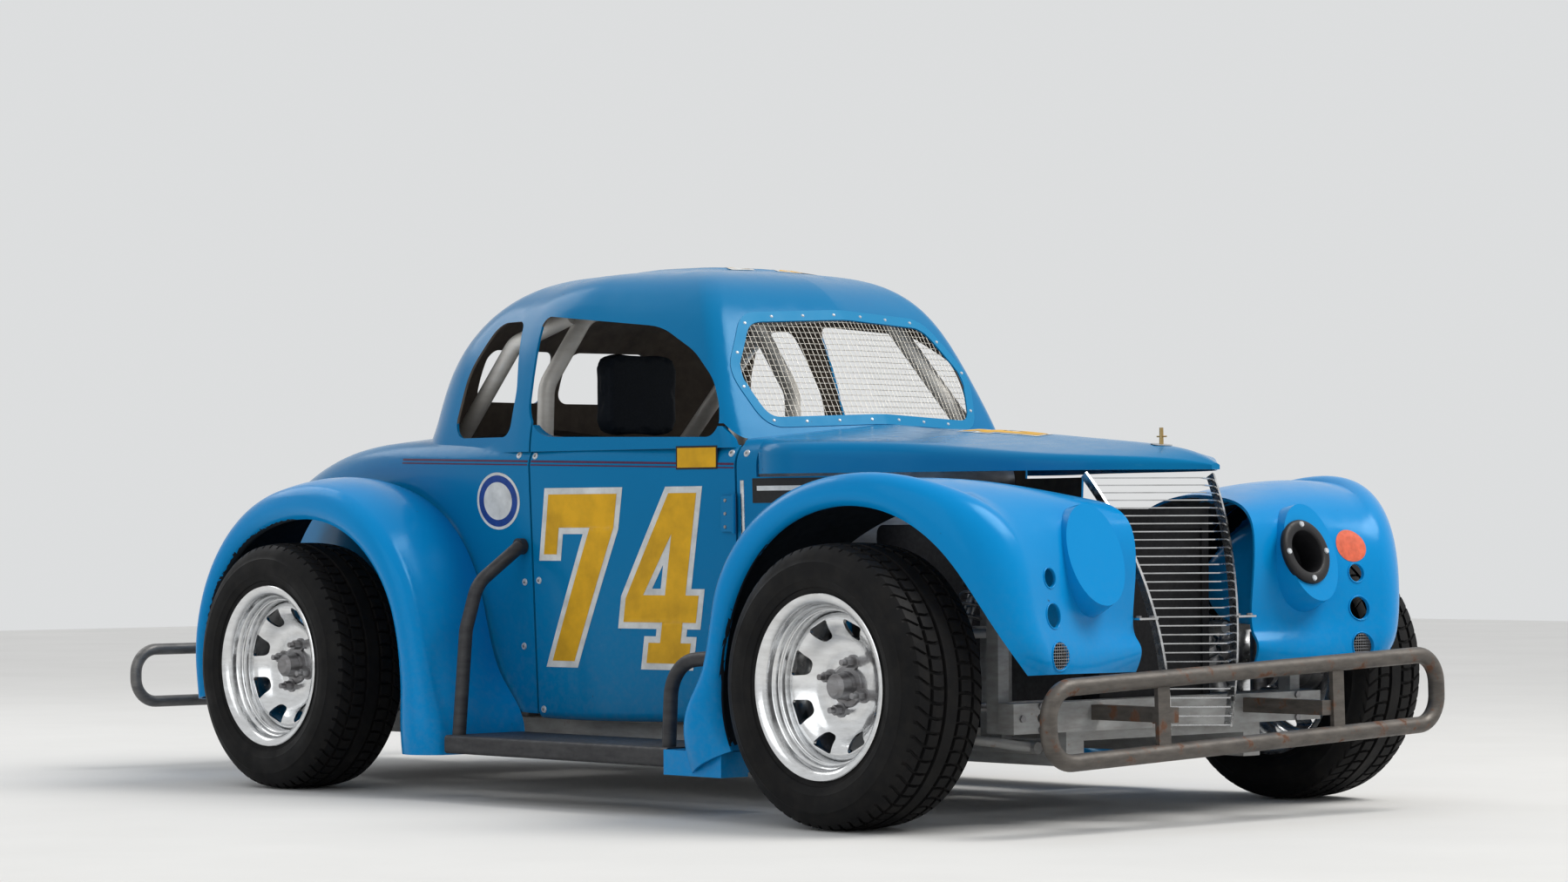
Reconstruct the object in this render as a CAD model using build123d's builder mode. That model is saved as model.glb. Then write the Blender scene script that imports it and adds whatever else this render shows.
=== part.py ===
from build123d import *
from math import cos, radians, sin
import os

os.makedirs("parts", exist_ok=True)

# A small club-racing stock car with a 1930s coupe body, about five eighths of road size.
# Millimetres, X forward, Y to the left, Z up, origin on the ground under the middle of the car.

# Driving dimensions
LENGTH = 3214
WHEELBASE = 1854
OVERHANG_FRONT = 470
WIDTH = 1524
ROOF_Z = 1172
TYRE_R = 280
TYRE_W = 205
SILL_Z = 788
FLOOR_Z = 165
BODY_BOTTOM_Z = 172
SKIN = 6
DOOR_THICK = 22
GAP = 6
TUBE_R = 19
BUMPER_R = 17

FRONT_X = LENGTH / 2 - OVERHANG_FRONT
REAR_X = FRONT_X - WHEELBASE
TAIL_X = -LENGTH / 2
WHEEL_Y = (WIDTH - TYRE_W) / 2
KINGPIN_Y = 535
DOOR_FRONT_X = FRONT_X - 620
DOOR_REAR_X = FRONT_X - 1225
HOOD_REAR_X = FRONT_X - 565
HOOD_Z = 703
HOOP_X = FRONT_X - 1310
CAGE_Y = 335
RAIL_Y = 335
RAIL = 50
BEAM_X = FRONT_X + 220
STEER_X = FRONT_X + 125
STEER_Z = 235

SIDES = {"right": -1, "left": 1}


def save(piece, name):
    piece.label = name
    export_step(piece, f"parts/{name}.step")


def tube(points, radius, bend=60):
    """A round tube along straight runs joined by arcs of one bend radius."""
    with BuildPart() as piece:
        with BuildLine() as path:
            if len(points) > 2:
                FilletPolyline(*points, radius=bend)
            else:
                Line(*points)
        with BuildSketch(Plane(path.line @ 0, z_dir=path.line % 0)):
            Circle(radius)
        sweep(path=path.line)
    return piece.part


def across(side, points):
    """Points written for the left side, put on either side of the car."""
    return [(x, side * y, z) for x, y, z in points]


# Body tub: one row per cross-section, from the cowl to the tail.
# back of front axle, half width at the sill, at the shoulder, bottom, shoulder height, crown height
TUB_SECTIONS = [
    (330, 330, 352, 200, 765, 797),
    (600, 395, 411, 176, 775, 815),
    (900, 440, 455, 172, 777, 817),
    (1250, 468, 496, 172, 782, 820),
    (1600, 456, 484, 190, 787, 832),
    (2000, 400, 428, 222, 768, 828),
    (2300, 342, 366, 250, 690, 768),
    (2500, 300, 318, 268, 590, 672),
    (2640, 262, 272, 290, 470, 545),
]


def tub(inset, drop=0):
    """The body from cowl to tail as one closed form, drawn in by inset and let down by drop."""
    with BuildPart() as form:
        for back, sill, shoulder, low, edge, crown in TUB_SECTIONS:
            end = inset if back == TUB_SECTIONS[-1][0] else 0
            with BuildSketch(Plane((FRONT_X - back + end, 0, 0), x_dir=(0, 1, 0), z_dir=(1, 0, 0))):
                with BuildLine():
                    outline = [
                        (-sill + inset, low + inset - drop),
                        (sill - inset, low + inset - drop),
                        (shoulder - inset, edge - inset),
                        (0, crown - inset),
                        (-shoulder + inset, edge - inset),
                    ]
                    FilletPolyline(*outline, radius=(20, 20, 60, 500, 60), close=True)
                make_face()
        loft()
    return form.part


# Cab above the belt: one row per level.
# height, screen centre, screen corner back and half width, widest back and half width,
# rear corner back and half width, back, rear corner radius
CAB_LEVELS = [
    (760, 565, 632, 414, 1240, 494, 1770, 444, 1822, 230),
    (920, 652, 705, 385, 1240, 466, 1715, 410, 1765, 220),
    (1040, 722, 770, 345, 1230, 430, 1640, 370, 1690, 200),
    (1110, 790, 832, 300, 1215, 385, 1545, 320, 1592, 170),
    (1150, 880, 912, 235, 1190, 310, 1440, 250, 1482, 130),
    (ROOF_Z, 1000, 1018, 130, 1150, 165, 1290, 130, 1312, 60),
]


def cab(inset):
    """The closed cab form above the belt, drawn in by inset on every side but below."""
    with BuildPart() as form:
        for row in CAB_LEVELS:
            level, centre, corner, corner_y, widest, widest_y, rear, rear_y, back, round_r = row
            half = [
                (FRONT_X - centre - inset, 0),
                (FRONT_X - corner - inset, corner_y - inset),
                (FRONT_X - widest, widest_y - inset),
                (FRONT_X - rear + inset, rear_y - inset),
                (FRONT_X - back + inset, 0),
            ]
            other = [(x, -y) for x, y in reversed(half[1:-1])]
            wide_r = 2 * round_r
            radii = (40, 50, wide_r, round_r, 300, round_r, wide_r, 50)
            top = inset if level == ROOF_Z else 0
            with BuildSketch(Plane.XY.offset(level - top)):
                with BuildLine():
                    FilletPolyline(*half, *other, radius=radii, close=True)
                make_face()
        loft()
    return form.part


# Window outlines in side view: distance back of the front axle, height, corner radius
SIDE_WINDOW = [
    (1262, 1064, 22),
    (1236, 793, 90),
    (668, 783, 30),
    (688, 850, 150),
    (722, 912, 150),
    (790, 970, 200),
    (905, 1028, 200),
]
QUARTER_WINDOW = [
    (1345, 1056, 26),
    (1300, 900, 120),
    (1302, 794, 30),
    (1540, 795, 42),
    (1522, 945, 150),
    (1450, 1056, 60),
]
# Windscreen outline in front view: half width, height, corner radius
SCREEN = [
    (0, 830, 200),
    (300, 820, 30),
    (345, 925, 120),
    (262, 1040, 40),
    (0, 1052, 200),
]
SCREEN_MIDDLE_Z = 940
# Rear window in two panes: inner and outer half width, bottom and top
REAR_PANE = (23, 240, 888, 1008)
# Door outline in side view: distance back of the front axle, height
DOOR_OUTLINE = [(620, 150), (620, 768), (668, 812), (900, 812), (900, 860), (1225, 860), (1225, 150)]
DOOR_SLOT_TOP = 900


def screen_prism(inset):
    """The windscreen outline pushed back through the front of the cab."""
    half = []
    for y, z, r in SCREEN:
        half.append((y - (inset if y else 0), z + (inset if z < SCREEN_MIDDLE_Z else -inset), r))
    rows = half + [(-y, z, r) for y, z, r in reversed(half[1:-1])]
    with BuildPart() as prism:
        with BuildSketch(Plane((FRONT_X - 520, 0, 0), x_dir=(0, -1, 0), z_dir=(-1, 0, 0))):
            with BuildLine():
                FilletPolyline(*[(-y, z) for y, z, r in rows], radius=[r for y, z, r in rows], close=True)
            make_face()
        extrude(amount=400)
    return prism.part


def window_prism(rows):
    """One side window's outline pushed through both sides of the body."""
    with BuildPart() as prism:
        with BuildSketch(Plane.XZ.offset(-700)):
            with BuildLine():
                points = [(FRONT_X - back, level) for back, level, radius in rows]
                FilletPolyline(*points, radius=[row[2] for row in rows], close=True)
            make_face()
        extrude(amount=1400)
    return prism.part


def door_block(side, gap):
    """The door's outline in side view, drawn in by the gap and pushed through the body side."""
    with BuildPart() as block:
        with BuildSketch(Plane.XZ.offset(-480 * side - 160)):
            with BuildLine():
                Polyline(*[(FRONT_X - back, level) for back, level in DOOR_OUTLINE], close=True)
            make_face()
            if gap:
                offset(amount=-gap, kind=Kind.INTERSECTION, mode=Mode.REPLACE)
        extrude(amount=320)
    return block.part


def under_cut(margin):
    """Everything below the body's lower edge, plus a margin, in side view."""
    with BuildPart() as cut:
        with BuildSketch(Plane.XZ.offset(-600)):
            with BuildLine():
                edge = [(FRONT_X - back, low + margin) for back, sill, shoulder, low, top, crown in TUB_SECTIONS]
                Polyline((edge[0][0] + 60, 0), (edge[0][0] + 60, edge[0][1]), *edge, (edge[-1][0], 0), close=True)
            make_face()
        extrude(amount=1200)
    return cut.part


OUTER_TUB = tub(0)
INNER_TUB = tub(SKIN)
DOOR_INNER = tub(DOOR_THICK, 60)
OUTER_CAB = cab(0)
INNER_CAB = cab(SKIN)

# Deck lid over the tail: distance back of the front axle, half width
LID_FRONT, LID_REAR = 1880, 2440
LID_FRONT_Y, LID_REAR_Y = 290, 220
LID_LOW_Z = 600


def lid_prism(gap):
    with BuildPart() as prism:
        with BuildSketch(Plane.XY.offset(LID_LOW_Z)):
            with BuildLine():
                FilletPolyline(
                    (FRONT_X - LID_FRONT - gap, LID_FRONT_Y - gap),
                    (FRONT_X - LID_REAR + gap, LID_REAR_Y - gap),
                    (FRONT_X - LID_REAR + gap, -LID_REAR_Y + gap),
                    (FRONT_X - LID_FRONT - gap, -LID_FRONT_Y + gap),
                    radius=60,
                    close=True,
                )
            make_face()
        extrude(amount=300)
    return prism.part


# Body shell: cowl, roof, quarters and tail in one moulding, open below
with BuildPart() as body_shell:
    add(OUTER_TUB)
    add(OUTER_CAB)
    add(INNER_TUB, mode=Mode.SUBTRACT)
    add(INNER_CAB, mode=Mode.SUBTRACT)
    # open underside and open front end
    add(under_cut(10), mode=Mode.SUBTRACT)
    with Locations((FRONT_X - 330, 0, 500)):
        Box(30, 900, 800, mode=Mode.SUBTRACT)
    # cowl cut down below the hood
    with Locations((HOOD_REAR_X + 200, 0, HOOD_Z + 94)):
        Box(400, 1000, 200, mode=Mode.SUBTRACT)
    for rows in (SIDE_WINDOW, QUARTER_WINDOW):
        add(window_prism(rows), mode=Mode.SUBTRACT)
    # split rear window
    pane_in, pane_out, pane_low, pane_high = REAR_PANE
    for side in SIDES.values():
        with BuildSketch(Plane.YZ.offset(FRONT_X - 1900)):
            with Locations((side * (pane_in + pane_out) / 2, (pane_low + pane_high) / 2)):
                RectangleRounded(pane_out - pane_in, pane_high - pane_low, 28)
        extrude(amount=350, mode=Mode.SUBTRACT)
    add(screen_prism(0), mode=Mode.SUBTRACT)
    add(lid_prism(0), mode=Mode.SUBTRACT)
    for side in SIDES.values():
        add(door_block(side, 0), mode=Mode.SUBTRACT)
    # notch over each rear axle end
    with Locations((REAR_X, 0, TYRE_R)):
        Box(240, 1200, 230, mode=Mode.SUBTRACT)
save(body_shell.part, "body_shell")

# Windscreen mesh panel, set in the flange
with BuildPart() as windscreen:
    add(OUTER_CAB)
    add(INNER_CAB, mode=Mode.SUBTRACT)
    add(screen_prism(2), mode=Mode.INTERSECT)
save(windscreen.part, "windscreen")

with BuildPart() as deck_lid:
    add(OUTER_TUB)
    add(INNER_TUB, mode=Mode.SUBTRACT)
    add(lid_prism(GAP), mode=Mode.INTERSECT)
save(deck_lid.part, "deck_lid")

# Plan view of the room inside the door's top edge
DOOR_SLOT = [
    (DOOR_FRONT_X + 20, 250),
    (DOOR_REAR_X - 20, 250),
    (DOOR_REAR_X - 20, 468),
    (FRONT_X - 900, 429),
    (DOOR_FRONT_X + 20, 389),
]
HINGE_Y, HINGE_Z, HINGE_R, HINGE_LEAF = 420, 620, 5, 76
for name, side in SIDES.items():
    with BuildPart() as door:
        add(OUTER_TUB)
        add(OUTER_CAB)
        add(DOOR_INNER, mode=Mode.SUBTRACT)
        add(door_block(side, GAP), mode=Mode.INTERSECT)
        # the slot the window drops into along the belt, and the window itself
        with BuildSketch(Plane.XY.offset(700)):
            with BuildLine():
                inner_edge = [(x, side * y) for x, y in DOOR_SLOT]
                Polyline(*inner_edge, close=True)
            make_face()
        extrude(amount=DOOR_SLOT_TOP - 700, mode=Mode.SUBTRACT)
        add(window_prism(SIDE_WINDOW), mode=Mode.SUBTRACT)
        # strap hinge: barrel on the pivot line and its leaf
        with Locations((DOOR_FRONT_X, side * HINGE_Y, HINGE_Z)):
            Cylinder(HINGE_R, HINGE_LEAF + 8)
        with Locations((DOOR_FRONT_X - 21, side * (HINGE_Y - 3), HINGE_Z)):
            Box(42, 6, HINGE_LEAF)
    save(door.part, f"door_{name}")

# Hood: one row per cross-section, from the cowl to the prow.
# ahead of front axle, half width, shoulder height, crown height, shoulder radius
HOOD_SECTIONS = [
    (-559, 404, 776, 814, 36),
    (-330, 350, 765, 799, 34),
    (-75, 266, 749, 783, 30),
    (180, 190, 731, 761, 22),
    (290, 84, 724, 744, 14),
    (362, 12, 712, 717, 3),
]


def hood_form(inset):
    with BuildPart() as form:
        for ahead, half, edge, crown, round_r in HOOD_SECTIONS:
            low = HOOD_Z - 2 * inset
            nose = 2 * inset if ahead == HOOD_SECTIONS[-1][0] else 0
            half = max(half - inset, 4)
            with BuildSketch(Plane((FRONT_X + ahead - nose, 0, 0), x_dir=(0, 1, 0), z_dir=(1, 0, 0))):
                with BuildLine():
                    outline = [
                        (-half, low),
                        (half, low),
                        (half, edge - inset),
                        (0, crown - inset),
                        (-half, edge - inset),
                    ]
                    FilletPolyline(*outline, radius=(0.1, 0.1, round_r, half, round_r), close=True)
                make_face()
        loft()
    return form.part


with BuildPart() as hood:
    add(hood_form(0))
    add(hood_form(5), mode=Mode.SUBTRACT)
save(hood.part, "hood")

# Front fender sections on half planes that turn about the wheel centre.
# angle, then radius and half width of the lip, bulge, crest, middle and inner edge
FRONT_FENDER = [
    (4, 345, 520, 356, 508, 364, 470, 338, 300, 306, 176),
    (17, 352, 590, 366, 578, 382, 500, 342, 320, 318, 176),
    (32, 350, 625, 380, 612, 416, 520, 378, 330, 358, 176),
    (48, 360, 655, 398, 648, 448, 540, 438, 340, 436, 184),
    (66, 362, 680, 392, 690, 430, 610, 432, 430, 405, 225),
    (90, 351, 698, 378, 718, 401, 660, 398, 480, 374, 300),
    (120, 343, 704, 372, 724, 402, 676, 402, 530, 385, 370),
    (150, 336, 704, 368, 726, 396, 700, 408, 560, 414, 424),
    (178, 336, 704, 364, 728, 390, 712, 410, 570, 430, 432),
    (204, 338, 704, 395, 730, 455, 714, 470, 575, 480, 432),
]
REAR_FENDER = [
    (-24, 495, 706, 556, 716, 600, 690, 610, 600, 610, 480),
    (-2, 446, 708, 492, 716, 526, 682, 532, 590, 526, 486),
    (22, 440, 716, 468, 720, 498, 680, 502, 590, 486, 490),
    (44, 408, 720, 438, 728, 480, 690, 490, 600, 472, 490),
    (66, 362, 716, 395, 730, 442, 700, 458, 610, 440, 488),
    (90, 326, 706, 360, 728, 404, 700, 424, 600, 420, 476),
    (118, 316, 700, 346, 722, 384, 694, 410, 580, 424, 452),
    (148, 314, 700, 336, 720, 366, 694, 396, 580, 424, 432),
    (178, 318, 700, 336, 716, 356, 694, 386, 580, 410, 424),
    (194, 322, 700, 340, 714, 356, 694, 384, 580, 404, 420),
]


def fender(centre_x, rows, side, thick):
    """A thin arched shell lofted through the rows of one table."""
    with BuildPart() as shell:
        for angle, lip_r, lip_y, bulge_r, bulge_y, crest_r, crest_y, mid_r, mid_y, in_r, in_y in rows:
            out = (cos(radians(angle)), 0, sin(radians(angle)))
            along = (-sin(radians(angle)), 0, cos(radians(angle)))
            with BuildSketch(Plane((centre_x, 0, TYRE_R), x_dir=out, z_dir=along)):
                with BuildLine():
                    crest, inner = (crest_r, side * crest_y), (in_r, side * in_y)
                    lip = (lip_r, side * lip_y)
                    low_lip = (lip_r, side * (lip_y - thick))
                    low_crest = (crest_r - thick, side * (crest_y - thick / 2))
                    low_inner = (in_r - thick, side * in_y)
                    ThreePointArc(lip, (bulge_r, side * bulge_y), crest)
                    ThreePointArc(crest, (mid_r, side * mid_y), inner)
                    Line(inner, low_inner)
                    ThreePointArc(low_inner, (mid_r - thick, side * mid_y), low_crest)
                    ThreePointArc(low_crest, (bulge_r - thick / 2, side * (bulge_y - thick)), low_lip)
                    Line(low_lip, lip)
                make_face()
        loft()
    return shell.part


# Headlamp pods, blanked off: distance behind the face, half width, half height, drop of the centre
POD_SECTIONS = [(0, 76, 104, 0), (90, 86, 112, 4), (250, 60, 70, 6)]
POD_CENTRE = (FRONT_X + 335, 320, 535)
POD_TILT = 17
# Air duct in the left pod: distance in from the pod's middle line, radius
DUCT_IN, DUCT_R = 20, 46
# Cooling holes in each front fender: ahead of the axle, half width, height, radius
NOSE_HOLES = [(356, 455, 491, 18), (365, 454, 418, 23), (347, 449, 340, 26)]


def pod_face(side):
    return Plane(
        (POD_CENTRE[0], side * POD_CENTRE[1], POD_CENTRE[2]),
        x_dir=(0, 1, 0),
        z_dir=(-cos(radians(POD_TILT)), 0, -sin(radians(POD_TILT))),
    )


def pod(side, inset):
    with BuildPart() as form:
        for behind, half_w, half_h, drop in POD_SECTIONS:
            with BuildSketch(pod_face(side).offset(behind + (inset if behind == 0 else 0))):
                with Locations((0, drop)):
                    Ellipse(half_w - inset, half_h - inset)
        loft()
    return form.part


# Each front fender's foot ahead of the running board: ends, inner and outer side, bottom, top
FOOT_FRONT_X, FOOT_REAR_X = FRONT_X - 330, FRONT_X - 508
FOOT_IN_Y, FOOT_OUT_Y = 640, 712
FRONT_FENDER_LOW, FOOT_TOP = 88, 139
REAR_FENDER_LOW = 96
for name, side in SIDES.items():
    with BuildPart() as front_fender:
        add(fender(FRONT_X, FRONT_FENDER, side, SKIN))
        add(pod(side, 0))
        add(pod(side, SKIN), mode=Mode.SUBTRACT)
        for ahead, half, level, hole_r in NOSE_HOLES:
            with Locations(Location((FRONT_X + ahead - 40, side * half, level), (0, 90, 0))):
                Cylinder(hole_r, 130, mode=Mode.SUBTRACT)
        if name == "left":
            with BuildSketch(pod_face(side).offset(-5)):
                with Locations((-DUCT_IN, 0)):
                    Circle(DUCT_R)
            extrude(amount=30, mode=Mode.SUBTRACT)
        foot_middle = ((FOOT_FRONT_X + FOOT_REAR_X) / 2, side * (FOOT_IN_Y + FOOT_OUT_Y) / 2)
        foot_length, foot_width = FOOT_FRONT_X - FOOT_REAR_X, FOOT_OUT_Y - FOOT_IN_Y
        with Locations((*foot_middle, (FRONT_FENDER_LOW + FOOT_TOP) / 2)):
            Box(foot_length, foot_width, FOOT_TOP - FRONT_FENDER_LOW)
        with Locations((*foot_middle, FRONT_FENDER_LOW)):
            Box(foot_length - 12, foot_width - 12, 2 * (FOOT_TOP - FRONT_FENDER_LOW - 6), mode=Mode.SUBTRACT)
        # inner edge cut back to leave room for the exhaust
        with Locations((FRONT_X - 470, side * 328, 160)):
            Box(260, 200, 200, mode=Mode.SUBTRACT)
        with Locations((FRONT_X, side * 500, 0)):
            Box(1400, 800, 2 * FRONT_FENDER_LOW, mode=Mode.SUBTRACT)
    save(front_fender.part, f"front_fender_{name}")
    with BuildPart() as rear_fender:
        add(fender(REAR_X, REAR_FENDER, side, SKIN))
        with Locations((REAR_X, side * 500, 0)):
            Box(1600, 800, 2 * REAR_FENDER_LOW, mode=Mode.SUBTRACT)
    save(rear_fender.part, f"rear_fender_{name}")

# Running boards between the fenders, each a shallow steel tray
BOARD_FRONT_X, BOARD_REAR_X = FRONT_X - 512, FRONT_X - 1256
BOARD_OUT_Y, BOARD_IN_Y = 702, 478
BOARD_TOP_Z, BOARD_H = 142, 40
for name, side in SIDES.items():
    length = BOARD_FRONT_X - BOARD_REAR_X
    width = BOARD_OUT_Y - BOARD_IN_Y
    middle = ((BOARD_FRONT_X + BOARD_REAR_X) / 2, side * (BOARD_OUT_Y + BOARD_IN_Y) / 2)
    with BuildPart() as running_board:
        with Locations((*middle, BOARD_TOP_Z - BOARD_H / 2)):
            Box(length, width, BOARD_H)
        fillet(running_board.edges().filter_by(Axis.X), 8)
        with Locations((*middle, BOARD_TOP_Z - BOARD_H)):
            Box(length - 12, width - 12, 2 * (BOARD_H - 6), mode=Mode.SUBTRACT)
    save(running_board.part, f"running_board_{name}")

# Side bars: one behind each door, one behind each front fender, standing on the boards
SIDE_BAR_R, SIDE_BAR_FOOT_Z = 15, BOARD_TOP_Z - 8
REAR_BAR = [(-1246, 500, 551), (-1246, 618, 470), (-1246, 650, 370), (-1246, 670, SIDE_BAR_FOOT_Z)]
FRONT_BAR = [(-408, 664, 326), (-532, 668, 316), (-538, 672, SIDE_BAR_FOOT_Z)]
with BuildPart() as side_bars:
    for side in SIDES.values():
        for route in (REAR_BAR, FRONT_BAR):
            add(tube([(FRONT_X + x, side * y, z) for x, y, z in route], SIDE_BAR_R, 80))
        with Locations(Location((FRONT_X - 1250, side * 495.5, 551), (90, 0, 0))):
            Cylinder(18, 16)
    # feet cut flush with the boards
    with Locations((FRONT_X - 880, 0, BOARD_TOP_Z - 50)):
        Box(900, 1500, 100, mode=Mode.SUBTRACT)
save(side_bars.part, "side_bars")

# Grille: thin bars folded along the prow between two curved side rails
GRILLE_BARS = 30
BAR_DEPTH, BAR_THICK = 9, 2.5
PROW = [(325, 0, 694), (380, 0, 430), (399, 0, 185)]
GRILLE_SIDE = [(178, 188, 694), (300, 121, 409), (309, 90, 185)]


def at(points):
    return [(FRONT_X + x, y, z) for x, y, z in points]


with BuildPart() as grille:
    with BuildLine(mode=Mode.PRIVATE) as prow:
        ThreePointArc(*at(PROW))
    with BuildLine(mode=Mode.PRIVATE) as rail:
        ThreePointArc(*at(GRILLE_SIDE))
    for i in range(GRILLE_BARS):
        share = (i + 0.6) / GRILLE_BARS
        tip, end = prow.line @ share, rail.line @ share
        with BuildSketch(Plane.XY.offset(end.Z)):
            with BuildLine():
                Polyline(
                    (end.X, end.Y),
                    (tip.X, 0),
                    (end.X, -end.Y),
                    (end.X - BAR_DEPTH, -end.Y),
                    (tip.X - BAR_DEPTH, 0),
                    (end.X - BAR_DEPTH, end.Y),
                    close=True,
                )
            make_face()
        extrude(amount=BAR_THICK)
    for side in SIDES.values():
        with BuildLine() as rail_path:
            ThreePointArc(*[(x, side * y, z) for x, y, z in at(GRILLE_SIDE)])
        with BuildSketch(Plane(rail_path.line @ 0, x_dir=(1, 0, 0), z_dir=rail_path.line % 0)):
            Rectangle(18, 6)
        sweep(path=rail_path.line)
        # tabs out to the fenders
        with Locations((FRONT_X + 303, side * 146, 406)):
            Box(22, 54, 4)
save(grille.part, "grille")

# Radiator behind the grille, standing on the front cross-member
FRONT_CROSS_X, FRONT_CROSS_TOP = FRONT_X + 190, 215
with BuildPart() as radiator:
    with Locations((FRONT_CROSS_X - 18, 0, FRONT_CROSS_TOP + 205)):
        Box(34, 300, 410)
        with GridLocations(0, 306, 1, 2):
            Box(44, 20, 410)
    with Locations((FRONT_CROSS_X - 18, 0, FRONT_CROSS_TOP + 390)):
        Box(44, 300, 40)
save(radiator.part, "radiator")

# Frame: rails, cross-members, front posts, towers and the box beam behind the bumper
FRONT_RAIL_Y = 262
RAIL_MID_Z = FLOOR_Z - RAIL / 2
MAIN_RAIL_FRONT, MAIN_RAIL_REAR = FRONT_X - 505, FRONT_X - 2330
TOWER_TOP, REAR_HUMP_TOP = 545, 476
REAR_HUMP_X = REAR_X - 72
# Holes for tow eyes and tie-down bolts through the box beam and the last cross-member
TOW_HOLE_R = 8.75
BEAM_Z, BEAM_DEPTH, BEAM_HOLE_Y = 215, 42, 380
TAIL_CROSS_X, TAIL_HOLE_Y = FRONT_X - 2318, 180
with BuildPart() as frame:
    for side in SIDES.values():
        with Locations(((MAIN_RAIL_REAR + MAIN_RAIL_FRONT) / 2, side * RAIL_Y, RAIL_MID_Z)):
            Box(MAIN_RAIL_FRONT - MAIN_RAIL_REAR, RAIL, RAIL)
        with Locations(((MAIN_RAIL_FRONT + BEAM_X) / 2, side * FRONT_RAIL_Y, RAIL_MID_Z)):
            Box(BEAM_X - MAIN_RAIL_FRONT, RAIL, RAIL)
        # towers over the front axle line, posts behind the beam, humps over the rear axle
        with Locations((FRONT_X, side * FRONT_RAIL_Y, (FLOOR_Z + TOWER_TOP) / 2)):
            Box(60, 30, TOWER_TOP - FLOOR_Z)
        with Locations((FRONT_X + 175, side * 432, 300)):
            Box(32, 30, 230)
        with Locations((FRONT_CROSS_X, side * 432, 215)):
            Box(62, 30, 60)
        with Locations((REAR_HUMP_X, side * 300, (RAIL_MID_Z + REAR_HUMP_TOP) / 2)):
            Box(40, 30, REAR_HUMP_TOP - RAIL_MID_Z)
        # body mounts at the tail
        with Locations((FRONT_X - 2305, side * 262, 230)):
            Box(30, 30, 130)
    for back, half in ((-530, 360), (-1310, 310), (-1900, 310), (-2318, 310)):
        with Locations((FRONT_X + back, 0, RAIL_MID_Z)):
            Box(RAIL, 2 * half, RAIL)
    with Locations((FRONT_X, 0, TOWER_TOP - 15)):
        Box(40, 2 * FRONT_RAIL_Y, 30)
    with Locations((BEAM_X, 0, BEAM_Z)):
        Box(BEAM_DEPTH, 910, 60)
    with Locations((FRONT_CROSS_X, 0, FRONT_CROSS_TOP - 25)):
        Box(60, 2 * FRONT_RAIL_Y + RAIL, 50)
    with Locations((REAR_HUMP_X, 0, REAR_HUMP_TOP - 10)):
        Box(40, 740, 20)
    for side in SIDES.values():
        with Locations(Location((BEAM_X, side * BEAM_HOLE_Y, BEAM_Z), (0, 90, 0))):
            Cylinder(TOW_HOLE_R, BEAM_DEPTH + 10, mode=Mode.SUBTRACT)
        with Locations(Location((TAIL_CROSS_X, side * TAIL_HOLE_Y, RAIL_MID_Z), (0, 90, 0))):
            Cylinder(TOW_HOLE_R, RAIL + 10, mode=Mode.SUBTRACT)
save(frame.part, "frame")

# Roll cage: main hoop, front legs with roof bars, rear braces, dash bar, door bars
DASH_X = FRONT_X - 711
DASH_BAR_R = TUBE_R - 3
with BuildPart() as roll_cage:
    hoop_half = [(CAGE_Y, FLOOR_Z), (376, 800), (372, 910), (250, 1080)]
    hoop = [(HOOP_X, y, z) for y, z in hoop_half] + [(HOOP_X, -y, z) for y, z in reversed(hoop_half)]
    add(tube(hoop, TUBE_R, 70))
    for side in SIDES.values():
        leg = [(HOOP_X, 248, 1080), (FRONT_X - 860, 240, 1080), (FRONT_X - 700, 340, 820)]
        leg = leg + [(FRONT_X - 660, CAGE_Y, FLOOR_Z)]
        add(tube(across(side, leg), TUBE_R, 70))
        brace = [(HOOP_X, 300, 1068), (FRONT_X - 1450, 350, 1010), (FRONT_X - 2290, 318, FLOOR_Z + 8)]
        add(tube(across(side, brace), TUBE_R, 60))
        door_bar = [(HOOP_X, 366, 430), (FRONT_X - 675, 337, 430)]
        add(tube(across(side, door_bar), DASH_BAR_R))
    add(tube([(DASH_X + 2 + DASH_BAR_R, -340, 720), (DASH_X + 2 + DASH_BAR_R, 340, 720)], DASH_BAR_R))
    harness_bar = [(HOOP_X, 370, 700), (FRONT_X - 1490, 300, 700)]
    harness_bar = harness_bar + [(x, -y, z) for x, y, z in reversed(harness_bar)]
    add(tube(harness_bar, DASH_BAR_R, 60))
    # feet cut flush with the rails
    with Locations((FRONT_X - 1450, 0, FLOOR_Z - 30)):
        Box(2000, 1000, 60, mode=Mode.SUBTRACT)
save(roll_cage.part, "roll_cage")

with BuildPart() as floor_pan:
    with Locations((FRONT_X - 1100, 0, FLOOR_Z + 1.5)):
        Box(1100, 620, 3)
save(floor_pan.part, "floor_pan")

# Firewall with the hole for the propeller shaft
SHAFT_FRONT = (FRONT_X - 416, 0, 215)
SHAFT_REAR = (REAR_X + 96, 0, 252)
with BuildPart() as firewall:
    with BuildSketch(Plane.YZ.offset(FRONT_X - 585)):
        with BuildLine():
            FilletPolyline(
                (-374, FLOOR_Z + 3.3),
                (374, FLOOR_Z + 3.3),
                (384, 750),
                (0, 784),
                (-384, 750),
                radius=(4, 4, 66, 500, 66),
                close=True,
            )
        make_face()
        with Locations((0, 222)):
            Circle(42, mode=Mode.SUBTRACT)
    extrude(amount=3)
save(firewall.part, "firewall")

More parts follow.
